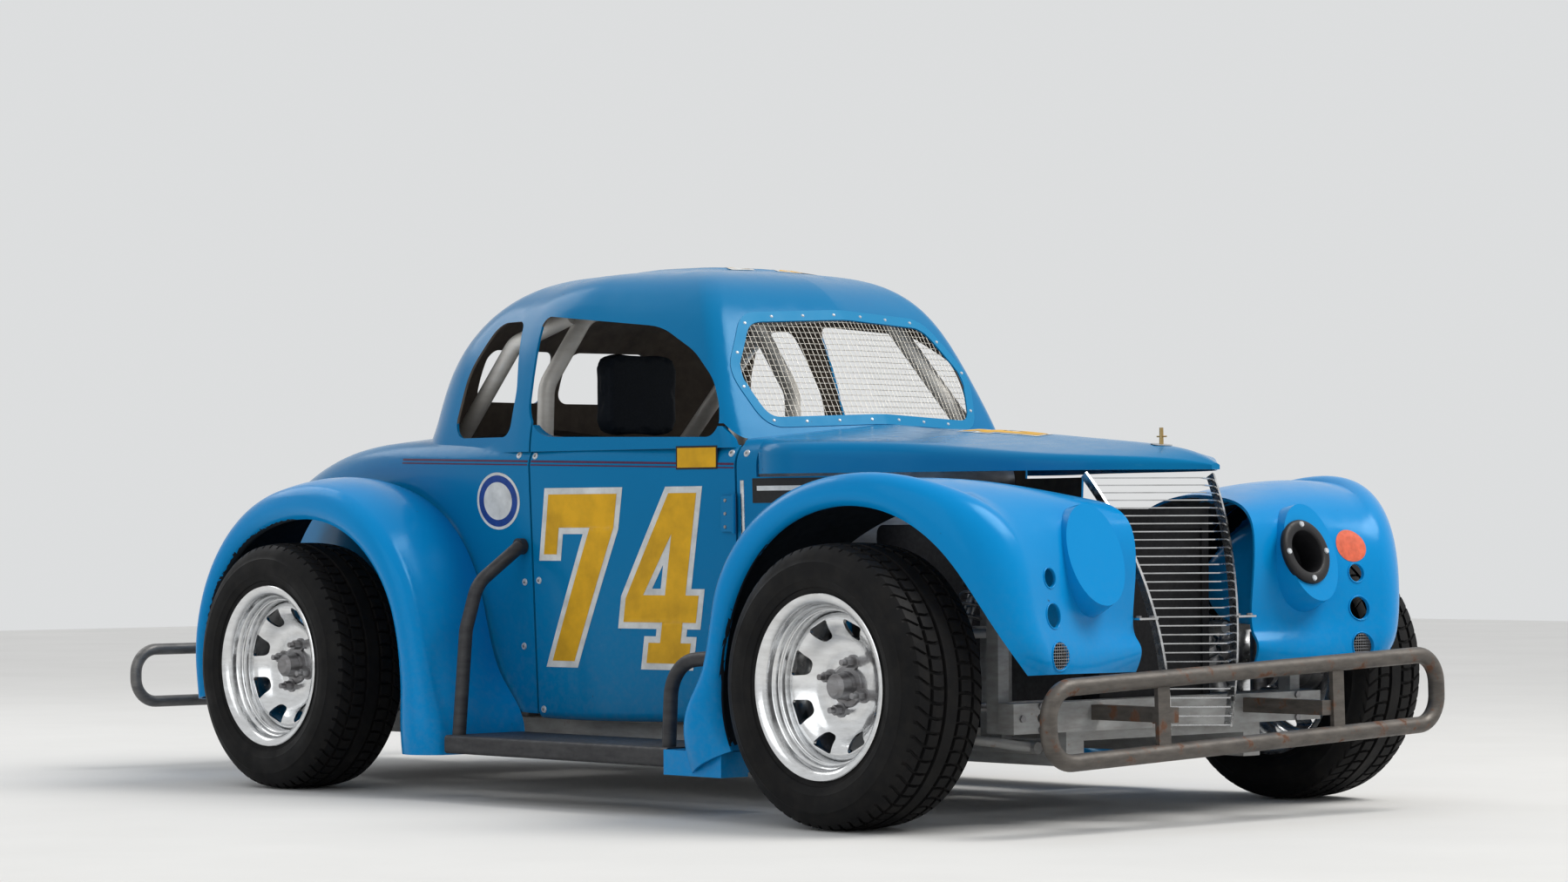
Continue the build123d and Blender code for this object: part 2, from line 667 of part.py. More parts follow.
# Dash panel, open where the steering shaft runs through
COLUMN_TOP = (FRONT_X - 1010, 0, 660)
COLUMN_FALL = 12
column_dir = (cos(radians(COLUMN_FALL)), 0, -sin(radians(COLUMN_FALL)))
with BuildPart() as dashboard:
    with Locations((DASH_X, 0, 650)):
        Box(4, 620, 190)
    fillet(dashboard.edges().filter_by(Axis.X), 30)
    with BuildSketch(Plane(COLUMN_TOP, z_dir=column_dir)):
        Circle(20)
    extrude(amount=330, mode=Mode.SUBTRACT)
save(dashboard.part, "dashboard")

# Steering wheel and its shaft
WHEEL_RING_R, WHEEL_GRIP_R = 150, 13
with BuildPart() as steering_wheel:
    ring_plane = Plane(COLUMN_TOP, x_dir=(0, 1, 0), z_dir=column_dir)
    with BuildSketch(ring_plane):
        Circle(34)
    extrude(amount=22)
    with BuildSketch(ring_plane):
        Circle(11)
    extrude(amount=366)
    with BuildSketch(Plane.XZ.shift_origin(COLUMN_TOP)) as grip:
        with Locations((WHEEL_RING_R * sin(radians(COLUMN_FALL)), WHEEL_RING_R * cos(radians(COLUMN_FALL)))):
            Circle(WHEEL_GRIP_R)
    revolve(axis=Axis(COLUMN_TOP, column_dir))
    with BuildSketch(ring_plane):
        with PolarLocations(WHEEL_RING_R / 2, 3, start_angle=90):
            Rectangle(WHEEL_RING_R, 26)
    extrude(amount=4)
save(steering_wheel.part, "steering_wheel")

# Seat: a bucket shell with a padded head panel, over the propeller shaft
SEAT_X = FRONT_X - 1150
SEAT_HALF, BOLSTER = 205, 30
SEAT_SIDE = [
    (160, FLOOR_Z + 4),
    (175, 330),
    (-130, 292),
    (-262, 800),
    (-318, 800),
    (-200, FLOOR_Z + 4),
]
BOLSTER_SIDE = [
    (150, FLOOR_Z + 4),
    (165, 360),
    (-60, 390),
    (-170, 800),
    (-318, 800),
    (-200, FLOOR_Z + 4),
]
with BuildPart() as seat:
    with BuildSketch(Plane.XZ.offset(-SEAT_HALF)):
        with BuildLine():
            side_view = [(SEAT_X + x, z) for x, z in SEAT_SIDE]
            FilletPolyline(*side_view, radius=(10, 40, 70, 20, 20, 10), close=True)
        make_face()
    extrude(amount=2 * SEAT_HALF)
    for low_y in (-SEAT_HALF - BOLSTER, SEAT_HALF):
        with BuildSketch(Plane.XZ.offset(-low_y - BOLSTER)):
            with BuildLine():
                wing = [(SEAT_X + x, z) for x, z in BOLSTER_SIDE]
                FilletPolyline(*wing, radius=(10, 50, 60, 40, 20, 10), close=True)
            make_face()
        extrude(amount=BOLSTER)
    # tunnel for the propeller shaft
    with Locations((SEAT_X - 20, 0, FLOOR_Z + 54)):
        Box(420, 70, 108, mode=Mode.SUBTRACT)
save(seat.part, "seat")

with BuildPart() as headrest:
    with Locations((SEAT_X - 290, 0, 900)):
        Box(56, 226, 198)
    fillet(headrest.edges().filter_by(Axis.X), 30)
save(headrest.part, "headrest")

# Four-cylinder engine as one block, gearbox end to the rear
with BuildPart() as engine:
    with Locations((FRONT_X - 250, 0, 395)):
        Box(330, 400, 400)
    fillet(engine.edges().filter_by(Axis.Y), 20)
    with Locations((FRONT_X - 240, 0, 205)):
        Box(300, 300, 60)
    for side in SIDES.values():
        with Locations((FRONT_X - 250, side * 225, FLOOR_Z + 15)):
            Box(80, 110, 30)
save(engine.part, "engine")

with BuildPart() as exhaust:
    route = [(-250, 200.5, 310), (-250, 268, 310), (-385, 316, 154), (-480, 388, 126), (-1480, 388, 126)]
    add(tube([(FRONT_X + x, y, z) for x, y, z in route], 21, 40))
save(exhaust.part, "exhaust")

with BuildPart() as fuel_cell:
    with Locations((FRONT_X - 2130, 0, FLOOR_Z + 123)):
        Box(290, 440, 230)
    fillet(fuel_cell.edges().filter_by(Axis.Z), 25)
    with Locations((FRONT_X - 2110, 0, FLOOR_Z + 4)):
        Box(450, 470, 8)
save(fuel_cell.part, "fuel_cell")

# Rear axle: tube, centre case, propeller shaft, and the stub each wheel turns on
HUB_BORE = 15
SPINDLE_R = HUB_BORE - 0.3
LINK_Y, LINK_LEVELS = 330, ((212, 180), (348, 300))
with BuildPart() as rear_axle:
    with Locations(Location((REAR_X, 0, TYRE_R), (90, 0, 0))):
        Cylinder(34, 1090)
        Cylinder(SPINDLE_R, 2 * (WHEEL_Y + 26))
        Cylinder(86, 150)
    with Locations(Location((REAR_X + 60, 0, TYRE_R - 18), (0, 90, 0))):
        Cylinder(45, 74)
    add(tube([SHAFT_FRONT, SHAFT_REAR], 18))
    for side in SIDES.values():
        # plates for the links in front and the spring seats behind
        with Locations((REAR_X + 22, side * LINK_Y, TYRE_R)):
            Box(44, 16, 170)
        with Locations((REAR_X - 30, side * 385, 244)):
            Box(44, 12, 50)
        with Locations((REAR_X - 64, side * 385, 225)):
            Box(56, 40, 8)
save(rear_axle.part, "rear_axle")

# Links that place the rear axle, two trailing links each side
with BuildPart() as rear_links:
    for side in SIDES.values():
        for low, high in LINK_LEVELS:
            add(tube([(REAR_X + 47, side * LINK_Y, low), (REAR_X + 430, side * LINK_Y, high)], 11))
        with Locations((REAR_X + 430, side * LINK_Y, (FLOOR_Z + 320) / 2)):
            Box(24, 30, 320 - FLOOR_Z)
save(rear_links.part, "rear_links")


def coil_over(foot, head, spring_r):
    """A spring over its damper as one closed outline, slim at each eye."""
    foot, head = Vector(*foot), Vector(*head)
    length = (head - foot).length
    with BuildPart() as unit:
        with BuildSketch(Plane(foot, z_dir=head - foot)):
            Circle(12)
        extrude(amount=length)
        with BuildSketch(Plane(foot + (head - foot) * 0.22, z_dir=head - foot)):
            Circle(spring_r)
        extrude(amount=length * 0.6)
    return unit.part


SEAT_PLATE_TOP = 191
with BuildPart() as front_springs:
    for side in SIDES.values():
        add(coil_over((FRONT_X, side * 425, SEAT_PLATE_TOP + 5), (FRONT_X, side * 290, 540), 29))
save(front_springs.part, "front_springs")

with BuildPart() as rear_springs:
    for side in SIDES.values():
        add(coil_over((REAR_HUMP_X, side * 385, 231), (REAR_HUMP_X, side * 352, 453), 30))
save(rear_springs.part, "rear_springs")

# Front wishbones: height and reach of the inner pivots, and the height of the outer joints
WISHBONES = [(150, 140, 299.5, 190), (378, 110, 289.5, 378)]
with BuildPart() as wishbones:
    for side in SIDES.values():
        for inner_z, spread, inner_y, outer_z in WISHBONES:
            for end in (-1, 1):
                start = (FRONT_X + end * spread, side * inner_y, inner_z)
                add(tube([start, (FRONT_X, side * KINGPIN_Y, outer_z)], 10))
            with Locations((FRONT_X, side * KINGPIN_Y, outer_z)):
                Cylinder(17, 22)
            with Locations(Location((FRONT_X, side * inner_y, inner_z), (0, 90, 0))):
                Cylinder(12, 2 * spread + 30)
        with Locations((FRONT_X, side * 425, SEAT_PLATE_TOP - 10)):
            Box(150, 30, 20)
save(wishbones.part, "wishbones")

# Knuckles: upright on the kingpin line, stub axle and steering arm
ARM_END_Y = 512
for name, side in SIDES.items():
    with BuildPart() as knuckle:
        with Locations((FRONT_X, side * KINGPIN_Y, (206 + 362) / 2)):
            Cylinder(18, 362 - 206)
        with Locations(Location((FRONT_X, side * (KINGPIN_Y + WHEEL_Y + 26) / 2, TYRE_R), (90, 0, 0))):
            Cylinder(SPINDLE_R, WHEEL_Y + 26 - KINGPIN_Y)
        with Locations(Location((FRONT_X, side * 556, TYRE_R), (90, 0, 0))):
            Cylinder(36, 14)
        add(tube([(FRONT_X, side * KINGPIN_Y, STEER_Z), (STEER_X - 28, side * ARM_END_Y, STEER_Z)], 9))
    save(knuckle.part, f"knuckle_{name}")

# Steering rack: the sliding bar with both tie rods, in two fixed clamps
with BuildPart() as steering_rack:
    ends = [(STEER_X, side * (ARM_END_Y - 4), STEER_Z) for side in SIDES.values()]
    add(tube(ends, 9))
save(steering_rack.part, "steering_rack")

with BuildPart() as rack_clamps:
    for side in SIDES.values():
        with Locations((STEER_X, side * 180, STEER_Z - 6)):
            Box(34, 60, 52)
        with Locations(Location((STEER_X, side * 180, STEER_Z), (90, 0, 0))):
            Cylinder(10, 60, mode=Mode.SUBTRACT)
        with Locations((STEER_X + 26, side * 180, STEER_Z - 30)):
            Box(18, 40, 20)
save(rack_clamps.part, "rack_clamps")

# Bumpers: tube loops on straps


def loop_tube(rows, radius, bend):
    with BuildPart() as piece:
        with BuildLine() as path:
            FilletPolyline(*rows, radius=bend, close=True)
        with BuildSketch(Plane(path.line @ 0, z_dir=path.line % 0)):
            Circle(radius)
        sweep(path=path.line)
    return piece.part


BUMPER_X = FRONT_X + OVERHANG_FRONT - BUMPER_R
BUMPER_HALF, BUMPER_HIGH, BUMPER_LOW = 575, 303, 159
BUMPER_ROLL = 2
front_rows = [
    (BUMPER_X, BUMPER_HALF, BUMPER_HIGH), (BUMPER_X, BUMPER_HALF, BUMPER_LOW),
    (BUMPER_X, -BUMPER_HALF, BUMPER_LOW), (BUMPER_X, -BUMPER_HALF, BUMPER_HIGH),
]
with BuildPart() as front_loop:
    add(loop_tube(front_rows, BUMPER_R, 60))
    with Locations((BUMPER_X, 0, (BUMPER_HIGH + BUMPER_LOW) / 2)):
        with GridLocations(0, 2 * 259, 1, 2):
            Box(10, 34, BUMPER_HIGH - BUMPER_LOW)
# the loop hangs lower on the right, as after a knock
rolled_loop = front_loop.part.rotate(Axis((BUMPER_X, 0, (BUMPER_HIGH + BUMPER_LOW) / 2), (1, 0, 0)), BUMPER_ROLL)
with BuildPart() as front_bumper:
    add(rolled_loop)
    for side in SIDES.values():
        with Locations(((BUMPER_X + BEAM_X + BEAM_DEPTH / 2) / 2, side * 225, 222)):
            Box(BUMPER_X - BEAM_X - BEAM_DEPTH / 2, 24, 30)
        with Locations((BUMPER_X - 6, side * 245, 222)):
            Box(12, 60, 30)
save(front_bumper.part, "front_bumper")

REAR_LOOP_R = BUMPER_R - 3
TAIL_TUBE_X = TAIL_X + REAR_LOOP_R
rear_rows = [
    (TAIL_TUBE_X, 535, 295), (TAIL_TUBE_X, 535, 166), (TAIL_TUBE_X, -535, 166), (TAIL_TUBE_X, -535, 295),
]
with BuildPart() as rear_bumper:
    add(loop_tube(rear_rows, REAR_LOOP_R, 58))
    for side in SIDES.values():
        with Locations((TAIL_TUBE_X, side * 250, 230)):
            Box(10, 34, 134)
        with Locations(((TAIL_TUBE_X + MAIN_RAIL_REAR - 13) / 2, side * 270, 152)):
            Box(MAIN_RAIL_REAR - 13 - TAIL_TUBE_X, 24, 24)
save(rear_bumper.part, "rear_bumper")

# Wheels: one row per corner
CORNERS = {
    "front_right": (FRONT_X, -1),
    "front_left": (FRONT_X, 1),
    "rear_right": (REAR_X, -1),
    "rear_left": (REAR_X, 1),
}
# Rim in section: radius, distance in from the wheel's outer face
RIM_SECTION = [
    (183, 8), (183, 12), (172, 15), (167, 18), (166, 32), (152, 46), (150, 100), (158, 160),
    (166, 173), (167, 187), (172, 190), (183, 193), (183, 197), (178, 196), (168, 193), (162, 186),
    (161, 174), (153, 162), (145, 100), (147, 44), (161, 28), (162, 19), (168, 12), (178, 9),
]
DISH_SECTION = [
    (HUB_BORE, 98), (40, 98), (46, 92), (90, 92), (118, 66), (138, 62), (148, 74),
    (148, 80), (137, 69), (120, 73), (92, 99), (40, 100), (40, 150), (HUB_BORE, 150),
]
WINDOWS = 8
WINDOW_R = 116
STUDS, STUD_CIRCLE_R = 4, 50
TYRE_SECTION = [
    (168, 19), (173, 15.6), (184.5, 12.6), (205, 2), (232, -2), (262, 8), (277, 24), (280, 50),
    (280, 155), (277, 181), (262, 197), (232, 207), (205, 203), (184.5, 192.4), (173, 189.4), (168, 186),
    (168, 172), (168, 33),
]


def wheel_outline(rows, face_y, side):
    """Section points in the plane X = axle, turned about the axle line."""
    return [(side * (face_y - inward), TYRE_R + radius) for radius, inward in rows]


FACE_Y = WIDTH / 2 - 2
for name, (axle_x, side) in CORNERS.items():
    axle = Axis((axle_x, 0, TYRE_R), (0, 1, 0))
    with BuildPart() as rim:
        for rows in (RIM_SECTION, DISH_SECTION):
            with BuildSketch(Plane.YZ.offset(axle_x)):
                with BuildLine():
                    Polyline(*wheel_outline(rows, FACE_Y, side), close=True)
                make_face()
            revolve(axis=axle)
        face = Plane((axle_x, side * (FACE_Y - 40), TYRE_R), x_dir=(1, 0, 0), z_dir=(0, -side, 0))
        with BuildSketch(face) as windows:
            with PolarLocations(WINDOW_R, WINDOWS, start_angle=25):
                Polygon((-19, -13), (-19, 13), (19, 27), (19, -27))
            fillet(windows.vertices(), 9)
        extrude(amount=80, mode=Mode.SUBTRACT)
        with BuildSketch(face.offset(52)):
            with PolarLocations(STUD_CIRCLE_R, STUDS, start_angle=45):
                Circle(9)
        extrude(amount=-22)
    save(rim.part, f"rim_{name}")
    with BuildPart() as tyre:
        with BuildSketch(Plane.YZ.offset(axle_x)):
            with BuildLine():
                Polyline(*wheel_outline(TYRE_SECTION, FACE_Y, side), close=True)
            make_face()
        revolve(axis=axle)
    save(tyre.part, f"tyre_{name}")
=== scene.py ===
import math
from math import cos, pi, radians, sin

import bmesh
import bpy
from mathutils import Matrix, Vector
from mathutils.bvhtree import BVHTree


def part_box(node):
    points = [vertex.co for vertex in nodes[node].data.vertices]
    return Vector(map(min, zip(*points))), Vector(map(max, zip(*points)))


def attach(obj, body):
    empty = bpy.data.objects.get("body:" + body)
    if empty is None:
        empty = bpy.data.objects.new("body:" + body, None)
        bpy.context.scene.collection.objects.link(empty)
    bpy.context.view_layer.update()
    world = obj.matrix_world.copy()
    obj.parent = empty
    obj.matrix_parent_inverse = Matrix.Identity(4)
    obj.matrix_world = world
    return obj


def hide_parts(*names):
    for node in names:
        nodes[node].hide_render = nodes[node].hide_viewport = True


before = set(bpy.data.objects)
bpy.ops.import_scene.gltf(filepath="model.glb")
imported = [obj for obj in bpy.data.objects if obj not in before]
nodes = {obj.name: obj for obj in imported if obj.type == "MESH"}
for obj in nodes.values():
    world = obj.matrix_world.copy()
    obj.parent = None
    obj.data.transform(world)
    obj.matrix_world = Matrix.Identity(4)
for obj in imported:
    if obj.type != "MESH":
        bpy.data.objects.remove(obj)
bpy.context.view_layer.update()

# Places shared with the solids, in metres. X forward, Y to the left, Z up.
FRONT_X = 1.137
WHEELBASE = 1.854
REAR_X = FRONT_X - WHEELBASE
TYRE_R = 0.280
FACE_Y = 0.760
SIDES = {"right": -1, "left": 1}
ENDS = {"front": FRONT_X, "rear": REAR_X}
CORNERS = {f"{end}_{name}": (x, side) for end, x in ENDS.items() for name, side in SIDES.items()}


def back(distance):
    """X of a place so far behind the front axle."""
    return FRONT_X - distance


def set_inputs(node, **values):
    """Sets a node's own input values by name, with _ for a space."""
    for key, value in values.items():
        node.inputs[key.replace("_", " ")].default_value = value


def add_object(name, data):
    obj = bpy.data.objects.new(name, data)
    bpy.context.scene.collection.objects.link(obj)
    return obj


# Shader graphs
NOISE_ROUGHNESS = 0.6


class Graph:
    """One material and the nodes wired into it."""

    def __init__(self, name, color, roughness, metallic=0.0, **extra):
        self.mat = bpy.data.materials.new(name)
        self.mat.use_nodes = True
        self.tree = self.mat.node_tree
        self.shader = self.tree.nodes["Principled BSDF"]
        set_inputs(self.shader, Base_Color=(*color, 1), Roughness=roughness, Metallic=metallic, **extra)
        self.coords = self.node("ShaderNodeTexCoord").outputs["Object"]

    def node(self, kind, **settings):
        made = self.tree.nodes.new(kind)
        for key, value in settings.items():
            setattr(made, key, value)
        return made

    def wire(self, source, target):
        self.tree.links.new(source, target)

    def noise(self, scale, low, high, stretch=(1, 1, 1), detail=5.0, shift=(0, 0, 0)):
        """A noise mask from 0 to 1, cut between low and high."""
        place = self.node("ShaderNodeMapping")
        set_inputs(place, Scale=stretch, Location=shift)
        self.wire(self.coords, place.inputs["Vector"])
        grain = self.node("ShaderNodeTexNoise")
        set_inputs(grain, Scale=scale, Detail=detail, Roughness=NOISE_ROUGHNESS)
        self.wire(place.outputs["Vector"], grain.inputs["Vector"])
        return self.ramp(grain.outputs["Fac"], low, high)

    def ramp(self, value, low, high, bottom=0.0, top=1.0):
        cut = self.node("ShaderNodeMapRange")
        set_inputs(cut, From_Min=low, From_Max=high, To_Min=bottom, To_Max=top)
        self.wire(value, cut.inputs["Value"])
        return cut.outputs["Result"]

    def maths(self, operation, a, b):
        step = self.node("ShaderNodeMath", operation=operation)
        for socket, value in zip(step.inputs, (a, b)):
            if isinstance(value, (int, float)):
                socket.default_value = value
            else:
                self.wire(value, socket)
        return step.outputs["Value"]

    def height(self):
        split = self.node("ShaderNodeSeparateXYZ")
        self.wire(self.coords, split.inputs["Vector"])
        return split.outputs["Z"]

    def mix(self, factor, a, b):
        """a where factor is 0, b where it is 1; each a colour or a socket."""
        mixer = self.node("ShaderNodeMix", data_type="RGBA")
        self.wire(factor, mixer.inputs["Factor"])
        for key, value in (("A_Color", a), ("B_Color", b)):
            socket = next(s for s in mixer.inputs if s.identifier == key)
            if isinstance(value, tuple):
                socket.default_value = (*value, 1)
            else:
                self.wire(value, socket)
        return next(s for s in mixer.outputs if s.identifier == "Result_Color")

    def color(self, source):
        self.wire(source, self.shader.inputs["Base Color"])

    def roughness(self, source):
        self.wire(source, self.shader.inputs["Roughness"])

    def bump(self, source, strength, distance):
        bump = self.node("ShaderNodeBump")
        set_inputs(bump, Strength=strength, Distance=distance)
        self.wire(source, bump.inputs["Height"])
        self.wire(bump.outputs["Normal"], self.shader.inputs["Normal"])


DUST = (0.3, 0.26, 0.21)


def paint(name, base, faded, gloss=0.15):
    """Gelcoat: faded patches, hairline scratches, chips, dust low on the body."""
    g = Graph(name, base, gloss, Specular_IOR_Level=0.24, Specular_Tint=(0.3, 0.7, 1.0, 1))
    patches = g.noise(3.0, 0.35, 0.75)
    skin = g.mix(g.maths("MULTIPLY", patches, 0.4), base, faded)
    scratch = g.noise(14.0, 0.71, 0.74, stretch=(1.0, 1.0, 9.0), detail=9.0, shift=(3, 1, 7))
    skin = g.mix(g.maths("MULTIPLY", scratch, 0.25), skin, (0.06, 0.32, 0.52))
    chips = g.noise(42.0, 0.755, 0.765, detail=3.0, shift=(9, 4, 2))
    skin = g.mix(g.maths("MULTIPLY", chips, 0.8), skin, (0.02, 0.05, 0.09))
    low = g.ramp(g.height(), 0.55, 0.08)
    speckle = g.noise(60.0, 0.42, 0.72, detail=8.0)
    dust = g.maths("MULTIPLY", g.maths("MULTIPLY", low, speckle), 0.1)
    skin = g.mix(dust, skin, DUST)
    g.color(skin)
    rough = g.ramp(g.noise(22.0, 0.3, 0.7, detail=8.0), 0.0, 1.0, gloss, gloss + 0.12)
    g.roughness(g.maths("MAXIMUM", rough, g.maths("MULTIPLY", dust, 1.6)))
    g.bump(g.noise(9.0, 0.0, 1.0, detail=2.0), 0.1, 0.0012)
    return g.mat


def metal(name, base, dark, roughness, rust=None, rust_share=0.6):
    """Bare or painted steel with streaks, and rust where rust_share lets it through."""
    g = Graph(name, base, roughness, 1.0 if rust is None else 0.35)
    streaks = g.noise(18.0, 0.3, 0.75, stretch=(1, 1, 4))
    skin = g.mix(streaks, base, dark)
    rough = g.ramp(g.noise(70.0, 0.3, 0.7, detail=8.0), 0.0, 1.0, roughness, roughness + 0.2)
    if rust is not None:
        spots = g.noise(26.0, rust_share, rust_share + 0.08, detail=9.0, shift=(5, 2, 1))
        skin = g.mix(spots, skin, rust)
        rough = g.maths("MAXIMUM", rough, g.maths("MULTIPLY", spots, 0.85))
        g.wire(g.ramp(spots, 0.0, 1.0, 0.35, 0.0), g.shader.inputs["Metallic"])
    g.color(skin)
    g.roughness(rough)
    g.bump(g.noise(120.0, 0.0, 1.0, detail=6.0), 0.12, 0.0006)
    return g.mat


def rubber(name, base, dusty):
    g = Graph(name, base, 0.62, Specular_IOR_Level=0.14)
    skin = g.mix(g.maths("MULTIPLY", g.noise(30.0, 0.42, 0.78, detail=9.0), 0.5), base, dusty)
    g.color(skin)
    g.roughness(g.ramp(g.noise(12.0, 0.3, 0.7), 0.0, 1.0, 0.5, 0.75))
    g.bump(g.noise(400.0, 0.0, 1.0, detail=4.0), 0.15, 0.0004)
    return g.mat


def plain(name, base, roughness, metallic=0.0, grain=60.0):
    g = Graph(name, base, roughness, metallic, Specular_IOR_Level=0.28)
    shade = tuple(c * 0.7 for c in base)
    g.color(g.mix(g.noise(grain, 0.35, 0.7), base, shade))
    g.roughness(g.ramp(g.noise(grain * 2, 0.3, 0.7), 0.0, 1.0, roughness, min(roughness + 0.15, 1)))
    g.bump(g.noise(grain * 5, 0.0, 1.0), 0.08, 0.0005)
    return g.mat


BODY_BLUE = paint("body_blue", (0.002, 0.172, 0.395), (0.003, 0.2, 0.43))
FENDER_BLUE = paint("fender_blue", (0.002, 0.25, 0.61), (0.003, 0.28, 0.65))
FLANGE_BLUE = paint("flange_blue", (0.004, 0.205, 0.43), (0.006, 0.24, 0.47), 0.35)
CHROME = metal("chrome", (0.8, 0.81, 0.82), (0.62, 0.62, 0.62), 0.08)
GRILLE_CHROME = metal("grille_chrome", (0.66, 0.67, 0.68), (0.42, 0.42, 0.42), 0.16)
ALUMINIUM = metal("aluminium", (0.6, 0.61, 0.62), (0.42, 0.42, 0.43), 0.32)
STEEL = metal("steel", (0.34, 0.34, 0.35), (0.18, 0.17, 0.17), 0.38)
BUMPER_STEEL = metal(
    "bumper_steel", (0.06, 0.053, 0.047), (0.13, 0.115, 0.1), 0.38, (0.105, 0.045, 0.022), 0.56
)
REAR_STEEL = metal("rear_loop_steel", (0.1, 0.1, 0.1), (0.22, 0.21, 0.2), 0.34, (0.12, 0.06, 0.03), 0.64)
FRAME_GREY = metal("frame_grey", (0.4, 0.41, 0.41), (0.27, 0.26, 0.25), 0.5, (0.2, 0.1, 0.05), 0.64)
CAGE_GREY = metal("cage_grey", (0.78, 0.76, 0.72), (0.66, 0.63, 0.58), 0.45, (0.4, 0.3, 0.2), 0.7)
BLACK_STEEL = metal("black_steel", (0.022, 0.022, 0.025), (0.05, 0.05, 0.052), 0.42, (0.09, 0.05, 0.03), 0.7)
CAST = plain("cast_block", (0.055, 0.055, 0.06), 0.6, 0.5)
BLACK_CORE = plain("radiator_core", (0.016, 0.016, 0.018), 0.7)
TYRE_RUBBER = rubber("tyre_rubber", (0.005, 0.005, 0.0055), (0.018, 0.016, 0.014))
PAD = plain("pad_cover", (0.01, 0.016, 0.026), 0.62, grain=180.0)
SEAT_SHELL = paint("seat_shell", (0.01, 0.05, 0.13), (0.015, 0.07, 0.16), 0.4)
YELLOW = plain("number_yellow", (0.8, 0.43, 0.008), 0.35, grain=14.0)
WHITE = plain("number_white", (0.76, 0.77, 0.76), 0.38, grain=24.0)
FASTENER = plain("fastener_white", (0.62, 0.65, 0.68), 0.35, 0.3)
STRIPE = plain("stripe_plum", (0.085, 0.012, 0.06), 0.35)
ORANGE = plain("disc_orange", (0.8, 0.15, 0.075), 0.45)
NAVY = plain("disc_navy", (0.015, 0.06, 0.3), 0.4)
BLACK = plain("plate_black", (0.012, 0.012, 0.014), 0.4)
RAW_INNER = plain("fibreglass_inner", (0.2, 0.165, 0.135), 0.78, grain=26.0)
# near-black painted shade for the fender faces inside the wheel arches
ARCH_SHADE = plain("arch_painted_shade", (0.01, 0.016, 0.024), 0.85, grain=26.0)
WIRE = metal("mesh_wire", (0.62, 0.6, 0.55), (0.4, 0.38, 0.34), 0.35)
BRASS = metal("pin_brass", (0.5, 0.36, 0.16), (0.35, 0.24, 0.1), 0.3)


# Mesh building
def add_piece(name, data, mat, body):
    """A new piece, smooth shaded, riding on a body."""
    obj = add_object(name, data)
    data.materials.append(mat)
    if obj.type == "MESH":
        shade_smooth(obj)
    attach(obj, body)
    return obj


def shade_smooth(obj):
    for face in obj.data.polygons:
        face.use_smooth = True


def mesh_object(name, verts, faces, mat, body):
    mesh = bpy.data.meshes.new(name)
    mesh.from_pydata([tuple(v) for v in verts], [], faces)
    mesh.update()
    return add_piece(name, mesh, mat, body)


def bmesh_object(name, bm, mat, body):
    mesh = bpy.data.meshes.new(name)
    bm.to_mesh(mesh)
    bm.free()
    return add_piece(name, mesh, mat, body)


def add_runs(curve, runs, cyclic):
    for run in runs:
        spline = curve.splines.new("POLY")
        spline.points.add(len(run) - 1)
        for point, place in zip(spline.points, run):
            point.co = (*place, 1)
        spline.use_cyclic_u = cyclic


def wires(name, runs, radius, mat, resolution, caps=False, cyclic=False):
    """Round wires on the chassis, one along each run of points, as a bevelled curve."""
    curve = bpy.data.curves.new(name, "CURVE")
    curve.dimensions = "3D"
    curve.bevel_depth = radius
    curve.bevel_resolution = resolution
    curve.use_fill_caps = caps
    add_runs(curve, runs, cyclic)
    return add_piece(name, curve, mat, "chassis")


def grid_faces(rows, columns, closed_rows=False, closed_columns=False):
    faces = []
    for i in range(rows if closed_rows else rows - 1):
        for j in range(columns if closed_columns else columns - 1):
            a = i * columns + j
            b = i * columns + (j + 1) % columns
            below = ((i + 1) % rows) * columns
            faces.append((a, b, below + (j + 1) % columns, below + j))
    return faces


def set_sharp(obj, degrees):
    """Marks the edges sharper than this angle, so that only the rest shades smooth."""
    obj.data.set_sharp_from_angle(angle=radians(degrees))


def geometry_group(name):
    """An empty geometry node group, its input node and its output node."""
    group = bpy.data.node_groups.new(name, "GeometryNodeTree")
    for way in ("INPUT", "OUTPUT"):
        group.interface.new_socket("Geometry", in_out=way, socket_type="NodeSocketGeometry")
    return group, group.nodes.new("NodeGroupInput"), group.nodes.new("NodeGroupOutput")


SHARP_EDGE = radians(32)
WELD_DISTANCE = 0.00002


def smoothing_group():
    """Geometry nodes that shade a CAD node smooth but for its real edges."""
    group, start, end = geometry_group("smooth_panels")
    drop = group.nodes.new("GeometryNodeRemoveAttribute")
    set_inputs(drop, Name="custom_normal")
    weld = group.nodes.new("GeometryNodeMergeByDistance")
    set_inputs(weld, Distance=WELD_DISTANCE)
    faces = group.nodes.new("GeometryNodeSetShadeSmooth")
    edges = group.nodes.new("GeometryNodeSetShadeSmooth")
    edges.domain = "EDGE"
    set_inputs(edges, Shade_Smooth=False)
    angle = group.nodes.new("GeometryNodeInputMeshEdgeAngle")
    limit = group.nodes.new("FunctionNodeCompare")
    limit.operation = "GREATER_THAN"
    limit.inputs[1].default_value = SHARP_EDGE
    group.links.new(angle.outputs["Unsigned Angle"], limit.inputs[0])
    group.links.new(limit.outputs["Result"], edges.inputs["Selection"])
    chain = (start, drop, weld, faces, edges, end)
    for a, b in zip(chain, chain[1:]):
        group.links.new(a.outputs[0], b.inputs[0])
    return group


